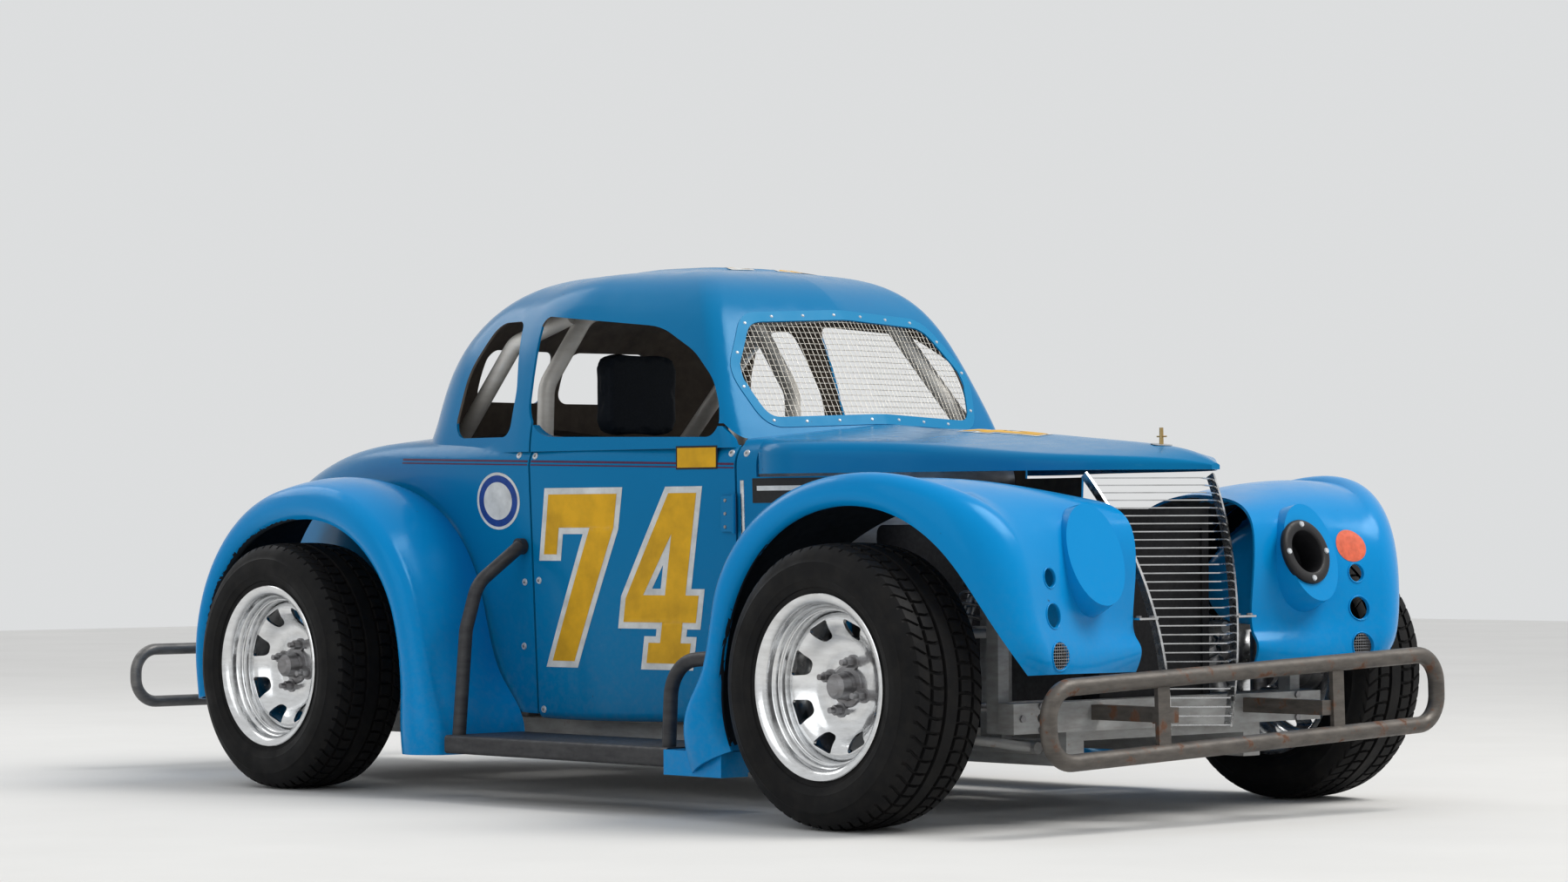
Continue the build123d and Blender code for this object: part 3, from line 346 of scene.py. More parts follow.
# CAD nodes that stay, under their finishes
CAD_FINISH = (
    (BODY_BLUE, "body_shell door_left door_right deck_lid hood"),
    (FENDER_BLUE, "front_fender_left front_fender_right rear_fender_left rear_fender_right"),
    (BLACK_STEEL, "running_board_left running_board_right side_bars steering_wheel rack_clamps"),
    (GRILLE_CHROME, "grille"),
    (BLACK_CORE, "radiator"),
    (FRAME_GREY, "frame wishbones"),
    (CAGE_GREY, "roll_cage"),
    (ALUMINIUM, "floor_pan firewall dashboard"),
    (SEAT_SHELL, "seat"),
    (CAST, "engine"),
    (STEEL, "exhaust rear_axle rear_links knuckle_left knuckle_right steering_rack"),
    (BUMPER_STEEL, "fuel_cell front_bumper"),
    (REAR_STEEL, "rear_bumper"),
)


def inner_face_group(name, middles, weights, limit, face_material, lowest=0.0):
    """Geometry nodes that give another material to the faces above lowest that face all the middle points:
    used for the raw inner fibreglass and for the near-black painted shade inside the wheel arches.
    """
    group, start, end = geometry_group(name)
    place = group.nodes.new("GeometryNodeInputPosition").outputs[0]
    normal = group.nodes.new("GeometryNodeInputNormal").outputs[0]

    def vector_step(operation, source, value=None):
        step = group.nodes.new("ShaderNodeVectorMath")
        step.operation = operation
        group.links.new(source, step.inputs[0])
        if value is not None:
            step.inputs[1].default_value = value
        return step

    def compared(operation, source, value):
        step = group.nodes.new("FunctionNodeCompare")
        step.operation = operation
        step.inputs[1].default_value = value
        group.links.new(source, step.inputs[0])
        return step.outputs[0]

    height = group.nodes.new("ShaderNodeSeparateXYZ")
    group.links.new(place, height.inputs[0])
    chosen = compared("GREATER_THAN", height.outputs["Z"], lowest)
    for middle in middles:
        away = vector_step("SUBTRACT", place, middle)
        away = vector_step("MULTIPLY", away.outputs[0], weights)
        away = vector_step("NORMALIZE", away.outputs[0])
        facing = vector_step("DOT_PRODUCT", away.outputs[0])
        group.links.new(normal, facing.inputs[1])
        both = group.nodes.new("FunctionNodeBooleanMath")
        group.links.new(chosen, both.inputs[0])
        group.links.new(compared("LESS_THAN", facing.outputs["Value"], limit), both.inputs[1])
        chosen = both.outputs[0]
    finished = group.nodes.new("GeometryNodeSetMaterial")
    set_inputs(finished, Material=face_material)
    group.links.new(chosen, finished.inputs["Selection"])
    group.links.new(start.outputs[0], finished.inputs["Geometry"])
    group.links.new(finished.outputs[0], end.inputs[0])
    return group


smoothing = smoothing_group()
raw_inside = inner_face_group("raw_inside", [(back(1.25), 0, 0.45)], (0.25, 1.0, 0.8), 0.0, RAW_INNER)
# The fender faces inside the wheel arches that face the wheel middles take a near-black painted shade
SHADED_ARCHES = {}
ARCH_LOW, ARCH_LIMIT = 0.15, -0.54
for name, side in SIDES.items():
    wheel_y = side * 0.60
    front_middles = [(FRONT_X, wheel_y, 0.3), (FRONT_X + 0.24, side * 0.32, 0.5)]
    rear_middles = [(REAR_X, wheel_y, 0.3)]
    for end, middles in (("front", front_middles), ("rear", rear_middles)):
        SHADED_ARCHES[f"{end}_fender_{name}"] = inner_face_group(
            f"arch_{end}_{name}", middles, (1.0, 1.0, 1.0), ARCH_LIMIT, ARCH_SHADE, ARCH_LOW
        )
for face_material, names in CAD_FINISH:
    for node in names.split():
        obj = nodes[node]
        for slot in obj.material_slots:
            slot.link = "OBJECT"
            slot.material = face_material
        obj.modifiers.new("smooth_panels", "NODES").node_group = smoothing
        if node in ("body_shell", "door_left", "door_right", "deck_lid"):
            obj.modifiers.new("raw_inside", "NODES").node_group = raw_inside
        # painted shade inside the wheel arches
        if node in SHADED_ARCHES:
            obj.modifiers.new("arch_shade", "NODES").node_group = SHADED_ARCHES[node]

# Tyres: moulded tread blocks on the crown, ribbed sidewalls
PITCHES = 60
PITCH_STEPS = (0.0, 0.05, 0.2, 0.25, 0.5, 0.75)
TREAD_IN, TREAD_OUT = 0.02, 0.185
GROOVE_DEPTH = 0.0065
GROOVES = (0.17, 0.385, 0.615, 0.83)
GROOVE_HALF, GROOVE_EDGE = 0.02, 0.008
SHOULDER, RIB = 0.15, (0.4, 0.6)
# how far a cross cut sways and leans round the tyre, in pitches
CUT_SWAY, CUT_LEAN = 0.55, 0.9
TYRE_WIDTH = 0.205
CROWN_R, CROWN_RISE = 0.2745, 0.0055
# radius and depth in from the wheel's face
SIDEWALL = [
    (0.168, 0.019), (0.173, 0.0156), (0.1845, 0.012), (0.19, 0.0105), (0.193, 0.0095), (0.1945, 0.0066),
    (0.2, 0.004), (0.208, 0.0018), (0.21, 0.0005), (0.213, 0.0006), (0.22, -0.0008), (0.23, -0.001),
    (0.24, 0.0002), (0.244, 0.0004), (0.246, 0.0024), (0.252, 0.0045), (0.26, 0.0082), (0.268, 0.013),
]


def tread_columns():
    """Share across the tread, and 1 where a long groove runs."""
    columns = dict.fromkeys((0.0, 0.04, 0.08, 0.28, 0.33, 0.45, 0.5, 0.55, 0.67, 0.72, 0.92, 0.96, 1.0), 0)
    outer = GROOVE_HALF + GROOVE_EDGE
    for middle in GROOVES:
        for offset, deep in ((-outer, 0), (-GROOVE_HALF, 1), (GROOVE_HALF, 1), (outer, 0)):
            columns[middle + offset] = deep
    return sorted(columns.items())


def wheel_point(axle_x, side, radius, inward, angle):
    """A point of a wheel: inward is its depth in from the wheel's face."""
    return axle_x + radius * sin(angle), side * (FACE_Y - inward), TYRE_R + radius * cos(angle)


def outward_faces(faces, side):
    """The faces of a ring of sections, turned over on the left side."""
    return [tuple(reversed(face)) for face in faces] if side > 0 else faces


def tyre(corner):
    axle_x, side = CORNERS[corner]
    columns = tread_columns()
    verts = []
    for pitch in range(PITCHES):
        for number, part in enumerate(PITCH_STEPS):
            for radius, inward in SIDEWALL:
                verts.append((radius, inward, (pitch + part) / PITCHES))
            for share, deep in columns:
                bow = 1 - (2 * share - 1) ** 4
                radius = CROWN_R + CROWN_RISE * bow
                slant = CUT_SWAY * sin(share * 2 * pi) + CUT_LEAN * share
                shoulder = share < SHOULDER or share > 1 - SHOULDER
                cut = number in (1, 2) and not RIB[0] < share < RIB[1]
                if deep:
                    radius -= GROOVE_DEPTH
                elif cut:
                    radius -= GROOVE_DEPTH * (0.75 if shoulder else 0.9)
                inward = TREAD_IN + (TREAD_OUT - TREAD_IN) * share
                verts.append((radius, inward, (pitch + part + slant) / PITCHES))
            for radius, inward in reversed(SIDEWALL):
                verts.append((radius, TYRE_WIDTH - inward, (pitch + part) / PITCHES))
    rings = PITCHES * len(PITCH_STEPS)
    placed = [wheel_point(axle_x, side, radius, inward, 2 * pi * turn) for radius, inward, turn in verts]
    faces = outward_faces(grid_faces(rings, len(verts) // rings, closed_rows=True), side)
    made = mesh_object(f"tyre_{corner}_tread", placed, faces, TYRE_RUBBER, f"wheel_{corner}")
    set_sharp(made, 28)
    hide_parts(f"tyre_{corner}")


# Rims: stepped barrel, eight-window dish, studs and a dust cap
RIM_PROFILE = [
    (0.162, 0.019), (0.168, 0.012), (0.178, 0.0084), (0.1815, 0.0078), (0.1832, 0.0092), (0.183, 0.012),
    (0.172, 0.015), (0.167, 0.018), (0.166, 0.032), (0.152, 0.046), (0.15, 0.1), (0.158, 0.16),
    (0.166, 0.173), (0.167, 0.187), (0.172, 0.19), (0.183, 0.193), (0.183, 0.197), (0.178, 0.196),
    (0.168, 0.193), (0.162, 0.186), (0.161, 0.174), (0.153, 0.162), (0.145, 0.1), (0.1462, 0.064),
    (0.1475, 0.056), (0.15, 0.05), (0.153, 0.0485), (0.1545, 0.04), (0.157, 0.035), (0.16, 0.033),
    (0.1612, 0.027),
]
DISH_PROFILE = [
    (0.034, 0.093), (0.04, 0.09), (0.044, 0.088), (0.052, 0.0872), (0.064, 0.088), (0.08, 0.088),
    (0.092, 0.085), (0.104, 0.076), (0.116, 0.066), (0.126, 0.061), (0.135, 0.06), (0.142, 0.064),
    (0.1475, 0.074), (0.1475, 0.08), (0.14, 0.071), (0.135, 0.0675), (0.126, 0.068), (0.118, 0.0725),
    (0.106, 0.083), (0.093, 0.0925), (0.08, 0.0955), (0.04, 0.096),
]
WINDOWS, WINDOW_TURN = 8, radians(25)
RIM_STEPS = 128
# depth in from the face, radius, length, share of the radius at the tip
HUB = (
    (0.15, 0.04, 0.064, 1.0), (0.09, 0.03, 0.012, 0.92),
    (0.078, 0.0265, 0.022, 0.94), (0.056, 0.0248, 0.007, 0.72),
)
# the same with the number of sides: washer, nut, stud
LUG = ((0.0885, 0.015, 0.004, 1.0, 24), (0.0845, 0.0105, 0.017, 0.97, 6), (0.0675, 0.006, 0.012, 1.0, 16))
LUGS, LUG_TURN, LUG_CIRCLE = 4, radians(20), 0.050


def revolve(profile, centre_x, side):
    verts = []
    for i in range(RIM_STEPS):
        angle = 2 * pi * i / RIM_STEPS
        verts += [wheel_point(centre_x, side, radius, inward, angle) for radius, inward in profile]
    faces = grid_faces(RIM_STEPS, len(profile), closed_rows=True, closed_columns=True)
    return verts, outward_faces(faces, side)


def round_outline(corners, rounds, steps=6):
    """Corners in a plane joined by smooth turns."""
    outline = []
    for i, corner in enumerate(corners):
        corner = Vector(corner)
        before, after = Vector(corners[i - 1]), Vector(corners[(i + 1) % len(corners)])
        start = corner + (before - corner).normalized() * rounds
        end = corner + (after - corner).normalized() * rounds
        for step in range(steps + 1):
            t = step / steps
            outline.append(start * (1 - t) ** 2 + corner * 2 * t * (1 - t) + end * t ** 2)
    return outline


def add_prism(bm, near, far):
    """A solid between two outlines with the same number of points."""
    rings = [[bm.verts.new(point) for point in outline] for outline in (near, far)]
    bm.faces.new(rings[0])
    bm.faces.new(list(reversed(rings[1])))
    for i in range(len(near)):
        j = (i + 1) % len(near)
        bm.faces.new((rings[0][j], rings[0][i], rings[1][i], rings[1][j]))


def window_cutters(centre_x, side):
    """Eight rounded trapezoids that cut the dish, wider outward."""
    outline = round_outline([(0.099, -0.0145), (0.132, -0.029), (0.132, 0.029), (0.099, 0.0145)], 0.01, 5)
    bm = bmesh.new()
    for window in range(WINDOWS):
        turn = 2 * pi * window / WINDOWS + side * WINDOW_TURN
        places = []
        for point in outline:
            x = point.x * sin(turn) + point.y * cos(turn)
            z = point.x * cos(turn) - point.y * sin(turn)
            places.append((centre_x + x, TYRE_R + z))
        near, far = ([(x, side * (FACE_Y - inward), z) for x, z in places] for inward in (0.04, 0.11))
        add_prism(bm, near, far)
    bmesh.ops.recalc_face_normals(bm, faces=bm.faces)
    mesh = bpy.data.meshes.new("cutters")
    bm.to_mesh(mesh)
    bm.free()
    return add_object("cutters", mesh)


def applied(obj):
    """Bakes the object's modifiers into its mesh."""
    graph = bpy.context.evaluated_depsgraph_get()
    mesh = bpy.data.meshes.new_from_object(obj.evaluated_get(graph))
    obj.modifiers.clear()
    obj.data = mesh


def add_cylinder(bm, centre, direction, radius, length, segments=24, tip=1.0):
    """A short round bar on one end of which the radius is tip times the other."""
    turn = Vector((0, 0, 1)).rotation_difference(Vector(direction)).to_matrix().to_4x4()
    place = Matrix.Translation(Vector(centre)) @ turn @ Matrix.Translation((0, 0, length / 2))
    shape = {"segments": segments, "radius1": radius, "radius2": radius * tip, "depth": length}
    bmesh.ops.create_cone(bm, cap_ends=True, matrix=place, **shape)


def bars(name, rows, mat, body):
    """Short round bars as one piece; a row is what add_cylinder takes."""
    bm = bmesh.new()
    for row in rows:
        add_cylinder(bm, *row)
    made = bmesh_object(name, bm, mat, body)
    set_sharp(made, 30)
    return made


def rim(corner):
    axle_x, side = CORNERS[corner]
    body = f"wheel_{corner}"
    barrel = mesh_object(f"rim_{corner}_barrel", *revolve(RIM_PROFILE, axle_x, side), CHROME, body)
    set_sharp(barrel, 40)
    dish = mesh_object(f"rim_{corner}_dish", *revolve(DISH_PROFILE, axle_x, side), CHROME, body)
    cutter = window_cutters(axle_x, side)
    cut = dish.modifiers.new("windows", "BOOLEAN")
    cut.object = cutter
    cut.solver = "EXACT"
    applied(dish)
    bpy.data.objects.remove(cutter)
    shade_smooth(dish)
    set_sharp(dish, 40)
    out = (0, side, 0)
    rows = []
    for depth, radius, length, tip in HUB:
        rows.append((wheel_point(axle_x, side, 0, depth, 0), out, radius, length, 48, tip))
    for lug in range(LUGS):
        angle = 2 * pi * lug / LUGS + LUG_TURN
        for depth, radius, length, tip, sides in LUG:
            foot = wheel_point(axle_x, side, LUG_CIRCLE, depth, angle)
            rows.append((foot, out, radius, length, sides, tip))
    bars(f"rim_{corner}_hub", rows, STEEL, body)
    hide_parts(f"rim_{corner}")


for corner in CORNERS:
    tyre(corner)
    rim(corner)


# Surface lookups on the solids
def surface(*names):
    """One lookup tree over the named CAD nodes."""
    bm = bmesh.new()
    for name in names:
        bm.from_mesh(nodes[name].data)
    tree = BVHTree.FromBMesh(bm)
    bm.free()
    return tree


BODY_SIDE = {name: surface("body_shell", f"door_{name}") for name in SIDES}
PANELS = {
    name: surface("body_shell", *(f"{part}_{name}" for part in ("door", "front_fender", "rear_fender")))
    for name in SIDES
}
TOP = surface("body_shell", "hood", "deck_lid")


def cast(tree, start, way):
    """Where a ray meets the surface, and the surface's normal on the ray's side."""
    way = Vector(way)
    hit, normal = tree.ray_cast(Vector(start), way)[:2]
    if hit is not None and normal.dot(way) > 0:
        normal = -normal
    return hit, normal


def on_side(side, x, z, lift, tree=None):
    """The point on the car's side at x and z, lifted off the paint, and its normal."""
    tree = tree or BODY_SIDE["left" if side > 0 else "right"]
    hit, normal = cast(tree, (x, side, z), (0, -side, 0))
    return (None, None) if hit is None else (hit + normal * lift, normal)


def on_top(x, y, lift=0.0008):
    """The point on the car's top at x and y, and its normal."""
    hit, normal = cast(TOP, (x, y, 1.6), (0, 0, -1))
    return (None, None) if hit is None else (hit + normal * lift, normal)


def flat_shape(loops, grow=0.0, cell=0.02):
    """Filled outline as points and faces, grown by grow and cut into small cells."""
    curve = bpy.data.curves.new("outline", "CURVE")
    curve.dimensions = "2D"
    curve.fill_mode = "BOTH"
    curve.offset = grow
    add_runs(curve, [[(u, v, 0) for u, v in loop] for loop in loops], True)
    holder = bpy.data.objects.new("outline", curve)
    mesh = bpy.data.meshes.new_from_object(holder)
    bm = bmesh.new()
    bm.from_mesh(mesh)
    bpy.data.objects.remove(holder)
    bmesh.ops.remove_doubles(bm, verts=bm.verts, dist=0.0001)
    low = [min(v.co[i] for v in bm.verts) for i in (0, 1)]
    high = [max(v.co[i] for v in bm.verts) for i in (0, 1)]
    for i in (0, 1):
        steps = int((high[i] - low[i]) / cell)
        for step in range(1, steps + 1):
            normal = (1, 0, 0) if i == 0 else (0, 1, 0)
            place = [0, 0, 0]
            place[i] = low[i] + step * cell
            geometry = list(bm.verts) + list(bm.edges) + list(bm.faces)
            bmesh.ops.bisect_plane(bm, geom=geometry, plane_co=place, plane_no=normal)
    return bm


def decal(name, loops, place, mat, body, grow=0.0, cell=0.02):
    """A thin painted shape laid on a surface: place(u, v) gives its points."""
    bm = flat_shape(loops, grow, cell)
    lost = []
    for vert in bm.verts:
        point = place(vert.co.x, vert.co.y)
        if point is None:
            lost.append(vert)
        else:
            vert.co = point
    bmesh.ops.delete(bm, geom=lost, context="VERTS")
    return bmesh_object(name, bm, mat, body)


# Race number in slab digits, drawn in a unit box: the shapes are plain polygons
SEVEN = [[
    (0.0, 1.0), (1.0, 1.0), (1.0, 0.8), (0.6, 0.0), (0.26, 0.0),
    (0.66, 0.8), (0.2, 0.8), (0.2, 0.64), (0.0, 0.64),
]]
FOUR = [
    [
        (0.44, 1.0), (0.82, 1.0), (0.82, 0.4), (1.0, 0.4), (1.0, 0.24),
        (0.82, 0.24), (0.82, 0.12), (0.96, 0.12), (0.96, 0.0), (0.38, 0.0),
        (0.38, 0.12), (0.54, 0.12), (0.54, 0.24), (0.0, 0.24), (0.0, 0.38),
    ],
    [(0.54, 0.4), (0.54, 0.76), (0.24, 0.4)],
]
DIGITS = [SEVEN, FOUR]


def digit_loops(digit, left, low, width, height, lean):
    return [[(left + x * width + lean * y * height, low + y * height) for x, y in loop] for loop in digit]


def race_number(name, start, step, low, width, height, lean, border, body, spot):
    """Each digit as a white border under a yellow fill; spot(u, v, lift) is a point over the paint."""
    for position, digit in enumerate(DIGITS):
        loops = digit_loops(digit, start + position * step, low, width, height, lean)
        for shade, mat, grow, lift in (("border", WHITE, border, 0.0007), ("fill", YELLOW, 0.0, 0.0013)):

            def place(u, v):
                return spot(u, v, lift)

            decal(f"{name}_digit_{position}_{shade}", loops, place, mat, body, grow)


NUMBER_LOW, NUMBER_HIGH = 0.3, 0.665
DIGIT_WIDTH, DIGIT_GAP, LEAN = 0.205, 0.055, 0.16
DOOR_BORDER, TOP_BORDER = 0.014, 0.009
NUMBER_START = {"right": back(1.195) - 0.025, "left": 0.008 - back(0.645)}
DIGIT_HEIGHT = NUMBER_HIGH - NUMBER_LOW
for name, side in SIDES.items():
    step = DIGIT_WIDTH + DIGIT_GAP

    def spot(u, v, lift):
        return on_side(side, -u * side, v, lift)[0]

    door = f"door_{name}"
    race_number(
        door, NUMBER_START[name], step, NUMBER_LOW, DIGIT_WIDTH, DIGIT_HEIGHT, LEAN, DOOR_BORDER, door, spot
    )

# Numbers on the roof and the hood
TOP_NUMBERS = {
    "roof": (back(1.36), 0.15, 0.36, 0.34, "chassis"),
    "hood": (back(0.3), 0.105, 0.21, 0.22, "hood"),
}
for name, (low_x, half_y, height, width, body) in TOP_NUMBERS.items():

    def spot(u, v, lift):
        return on_top(low_x + v, -u, lift)[0]

    race_number(name, -half_y * 1.25, width * 0.48, 0, width * 0.4, height, 0.0, TOP_BORDER, body, spot)

# Pinstripes along the belt
STRIPE_REAR, STRIPE_FRONT = back(1.72), back(0.6)
STRIPE_REAR_Z, STRIPE_FRONT_Z = 0.741, 0.715
STRIPE_STEPS = 48
for name, side in SIDES.items():
    door_span = ("door", back(1.217), back(0.628), f"door_{name}")
    for piece, rear, front, body in (("quarter", STRIPE_REAR, back(1.228), "chassis"), door_span):
        for line, offset, width in (("upper", 0.007, 0.0045), ("lower", 0.0, 0.003)):
            verts = []
            for i in range(STRIPE_STEPS + 1):
                x = rear + (front - rear) * i / STRIPE_STEPS
                share = (x - STRIPE_REAR) / (STRIPE_FRONT - STRIPE_REAR)
                z = STRIPE_REAR_Z + (STRIPE_FRONT_Z - STRIPE_REAR_Z) * share + offset
                verts += [on_side(side, x, z + edge, 0.0008)[0] for edge in (0, width)]
            faces = grid_faces(STRIPE_STEPS + 1, 2)
            mesh_object(f"stripe_{piece}_{name}_{line}", verts, faces, STRIPE, body)


CIRCLE = [2 * pi * i / 48 for i in range(48)]


def disc_loops(radius, stretch):
    """An ellipse, stretch times as wide as it is high."""
    return [[(stretch * radius * cos(angle), radius * sin(angle)) for angle in CIRCLE]]


def box_loops(half_u, low_v, high_v):
    return [[(-half_u, low_v), (half_u, low_v), (half_u, high_v), (-half_u, high_v)]]


# Round fasteners with a dark centre, in from the door's edges and on the quarters
FASTENERS = {
    "chassis": [(1.262, 0.753), (0.597, 0.747), (1.251, 0.472), (1.262, 0.33)],
    "door": [(1.207, 0.75), (0.64, 0.748), (1.203, 0.476), (1.203, 0.192), (0.645, 0.468), (0.645, 0.205)],
}
for name, side in SIDES.items():
    for owner, places in FASTENERS.items():
        body = f"door_{name}" if owner == "door" else "chassis"
        heads, sockets = [], bmesh.new()
        for distance, z in places:
            heads.append((*on_side(side, back(distance), z, -0.001), 0.0085, 0.0028, 24, 0.82))
            add_cylinder(sockets, *on_side(side, back(distance), z, 0.0012), 0.003, 0.0012, 16)
        bars(f"fasteners_{owner}_{name}", heads, FASTENER, body)
        bmesh_object(f"fastener_sockets_{owner}_{name}", sockets, STEEL, body)

# A plain ring and plain square marks where the photograph has stickers
RING_X, RING_Z, RING_HALF, RING_STRETCH = back(1.334), 0.652, 0.0637, 1.2
TAB_X, TAB_Z = back(0.731), 0.74
TAB_LEVELS = (-0.025, -0.01, 0, 0.01, 0.025)
PLATE_X, PLATE_Z = back(0.452), 0.668
RING_BANDS = (("white", WHITE, 1, 0.0006), ("navy", NAVY, 0.9, 0.0009), ("field", WHITE, 0.66, 0.0012))
TAB_LAYERS = (("back", BLACK, 0.058, 0.025, 0.0006), ("front", YELLOW, 0.054, 0.021, 0.0011))
for name, side in SIDES.items():
    for band, mat, share, lift in RING_BANDS:

        def place(u, v):
            return on_side(side, RING_X - side * u, RING_Z + v, lift, PANELS[name])[0]

        loops = disc_loops(RING_HALF * share, RING_STRETCH)
        decal(f"quarter_disc_{band}_{name}", loops, place, mat, "chassis")
    for shade, mat, half_x, half_z, lift in TAB_LAYERS:

        def place(u, v):
            x = TAB_X - side * u
            reach = max(abs(on_side(side, x, TAB_Z + level, lift)[0].y) for level in TAB_LEVELS)
            return Vector((x, side * reach, TAB_Z + v))

        decal(f"belt_tab_{shade}_{name}", box_loops(half_x, -half_z, half_z), place, mat, f"door_{name}")
    for shade, mat, loops, lift in (
        ("plate", BLACK, box_loops(0.125, -0.026, 0.026), 0.0006),
        ("bar", WHITE, box_loops(0.112, 0.0, 0.01), 0.0012),
    ):

        def place(u, v):
            return on_side(side, PLATE_X - side * u, PLATE_Z + v, lift)[0]

        decal(f"cowl_{shade}_{name}", loops, place, mat, "chassis")

# Windscreen: a woven wire panel
SCREEN = surface("windscreen")
WIRE_PITCH, WIRE_R = 0.0125, 0.0007
UP_STEP, ACROSS_STEP = 0.004, 0.006
SCREEN_HALF, SCREEN_LOW, SCREEN_HIGH = 0.345, 0.815, 1.058


def on_screen(y, z, sink):
    """The point of the panel at y and z, sunk a little, or None beside the panel."""
    hit = SCREEN.ray_cast(Vector((back(0.45), y, z)), Vector((-1, 0, 0)))[0]
    return None if hit is None or hit.x < back(0.95) else hit - Vector((sink, 0, 0))


def wire_runs(places):
    """Runs of consecutive points that lie on the panel."""
    run = []
    for place in places + [None]:
        if place is None:
            if len(run) > 1:
                yield run
            run = []
        else:
            run.append(place)


lines = []
for i in range(int(2 * SCREEN_HALF / WIRE_PITCH) + 1):
    y = -SCREEN_HALF + i * WIRE_PITCH
    steps = int((SCREEN_HIGH - SCREEN_LOW) / UP_STEP) + 1
    lines.append([on_screen(y, SCREEN_LOW + k * UP_STEP, 0.003) for k in range(steps)])
for i in range(int((SCREEN_HIGH - SCREEN_LOW) / WIRE_PITCH) + 1):
    z = SCREEN_LOW + i * WIRE_PITCH
    steps = int(2 * SCREEN_HALF / ACROSS_STEP) + 1
    lines.append([on_screen(-SCREEN_HALF + k * ACROSS_STEP, z, 0.0044) for k in range(steps)])
panel = wires("windscreen_wires", [run for line in lines for run in wire_runs(line)], WIRE_R, WIRE, 0)
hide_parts("windscreen")

# Flange round the windscreen, riveted
SCREEN_CORNERS = [
    (0.302, 0.818), (0.345, 0.925), (0.262, 1.041), (0, 1.053),
    (-0.262, 1.041), (-0.345, 0.925), (-0.302, 0.818), (0, 0.829),
]
CAB_FRONT = surface("body_shell", "windscreen")
FLANGE_IN, FLANGE_OUT, FLANGE_THICK = -0.007, 0.015, 0.0016
SCREEN_MIDDLE = Vector((0, 0.935))
RIVET_STEP = 0.075
PULL_STEP = 0.0015


def on_cab_front(spot, outward, lift):
    """The point of the cab's front at a place, drawn in toward the glass line where the cab ends."""
    for pull in range(12):
        drawn = spot - outward * pull * PULL_STEP
        hit, normal = cast(CAB_FRONT, (FRONT_X, *drawn), (-1, 0, 0))
        if hit is not None and hit.x > back(0.93):
            break
    return hit + normal * lift, normal


def dense(outline, step):
    """More points along a closed outline, evenly placed."""
    points = []
    for i, point in enumerate(outline):
        following = outline[(i + 1) % len(outline)]
        parts = max(1, int((following - point).length / step))
        points += [point.lerp(following, k / parts) for k in range(parts)]
    return points


frame_line = dense(round_outline(SCREEN_CORNERS, 0.035), 0.012)
verts = []
rivets = []
walked = 0.0
for i, point in enumerate(frame_line):
    before, after = frame_line[i - 1], frame_line[(i + 1) % len(frame_line)]
    along = (after - before).normalized()
    outward = Vector((along.y, -along.x))
    if outward.dot(point - SCREEN_MIDDLE) < 0:
        outward = -outward
    inner, outer = point + outward * FLANGE_IN, point + outward * FLANGE_OUT
    for spot, lift in ((inner, -0.002), (inner, FLANGE_THICK), (outer, FLANGE_THICK), (outer, -0.002)):
        verts.append(on_cab_front(spot, outward, lift)[0])
    walked += (after - point).length
    if walked > RIVET_STEP:
        walked = 0.0
        spot = point + outward * (FLANGE_IN + FLANGE_OUT) / 2
        rivets.append((*on_cab_front(spot, outward, FLANGE_THICK - 0.0005), 0.0042, 0.0022, 16, 0.6))
faces = grid_faces(len(frame_line), 4, closed_rows=True, closed_columns=True)
set_sharp(mesh_object("windscreen_flange", verts, faces, FLANGE_BLUE, "chassis"), 35)
bars("windscreen_rivets", rivets, FASTENER, "chassis")

# Duct ring with four fasteners and a dark core, on the left pod
POD_TILT = radians(17)
POD_OUT = Vector((cos(POD_TILT), 0, sin(POD_TILT)))
POD_UP = Vector((-sin(POD_TILT), 0, cos(POD_TILT)))
DUCT_AT = Vector((FRONT_X + 0.335, 0.3, 0.535))
RING_PROFILE = [
    (0.0445, -0.055), (0.0445, 0.005), (0.0462, 0.008), (0.049, 0.0092), (0.06, 0.0092), (0.0655, 0.008),
    (0.068, 0.0052), (0.0685, 0.0015), (0.0677, -0.004), (0.06, -0.001), (0.0475, -0.001), (0.0475, -0.055),
]
RING_STEPS = 72


def duct_spoke(angle):
    """The direction across the duct at this angle."""
    return Vector((0, 1, 0)) * cos(angle) + POD_UP * sin(angle)


verts = []
for i in range(RING_STEPS):
    spoke = duct_spoke(2 * pi * i / RING_STEPS)
    verts += [DUCT_AT + spoke * radius + POD_OUT * rise for radius, rise in RING_PROFILE]
faces = grid_faces(RING_STEPS, len(RING_PROFILE), closed_rows=True, closed_columns=True)
set_sharp(mesh_object("duct_ring", verts, faces, BLACK, "chassis"), 40)
fasteners = []
for turn in (0, 90, 180, 270):
    spot = DUCT_AT + duct_spoke(radians(turn)) * 0.0575 + POD_OUT * 0.0088
    fasteners.append((spot, POD_OUT, 0.0065, 0.0028, 20, 0.8))
bars("duct_fasteners", fasteners, FASTENER, "chassis")
bars("duct_core", [(DUCT_AT - POD_OUT * 0.055, POD_OUT, 0.046, 0.002, 48)], BLACK_CORE, "chassis")

NOSE = {name: surface(f"front_fender_{name}") for name in SIDES}


def on_nose(name, y, z, lift):
    """The point on a front fender's face at y and z."""
    hit, normal = cast(NOSE[name], (FRONT_X + 0.8, y, z), (-1, 0, 0))
    return None if hit is None or hit.x < FRONT_X + 0.2 else hit + normal * lift


DISC_Y, DISC_Z, DISC_R = 0.453, 0.547, 0.033


def place(u, v):
    return on_nose("left", DISC_Y + u, DISC_Z + v, 0.0008)


decal("nose_disc", disc_loops(DISC_R, 1.2), place, ORANGE, "chassis", cell=0.006)

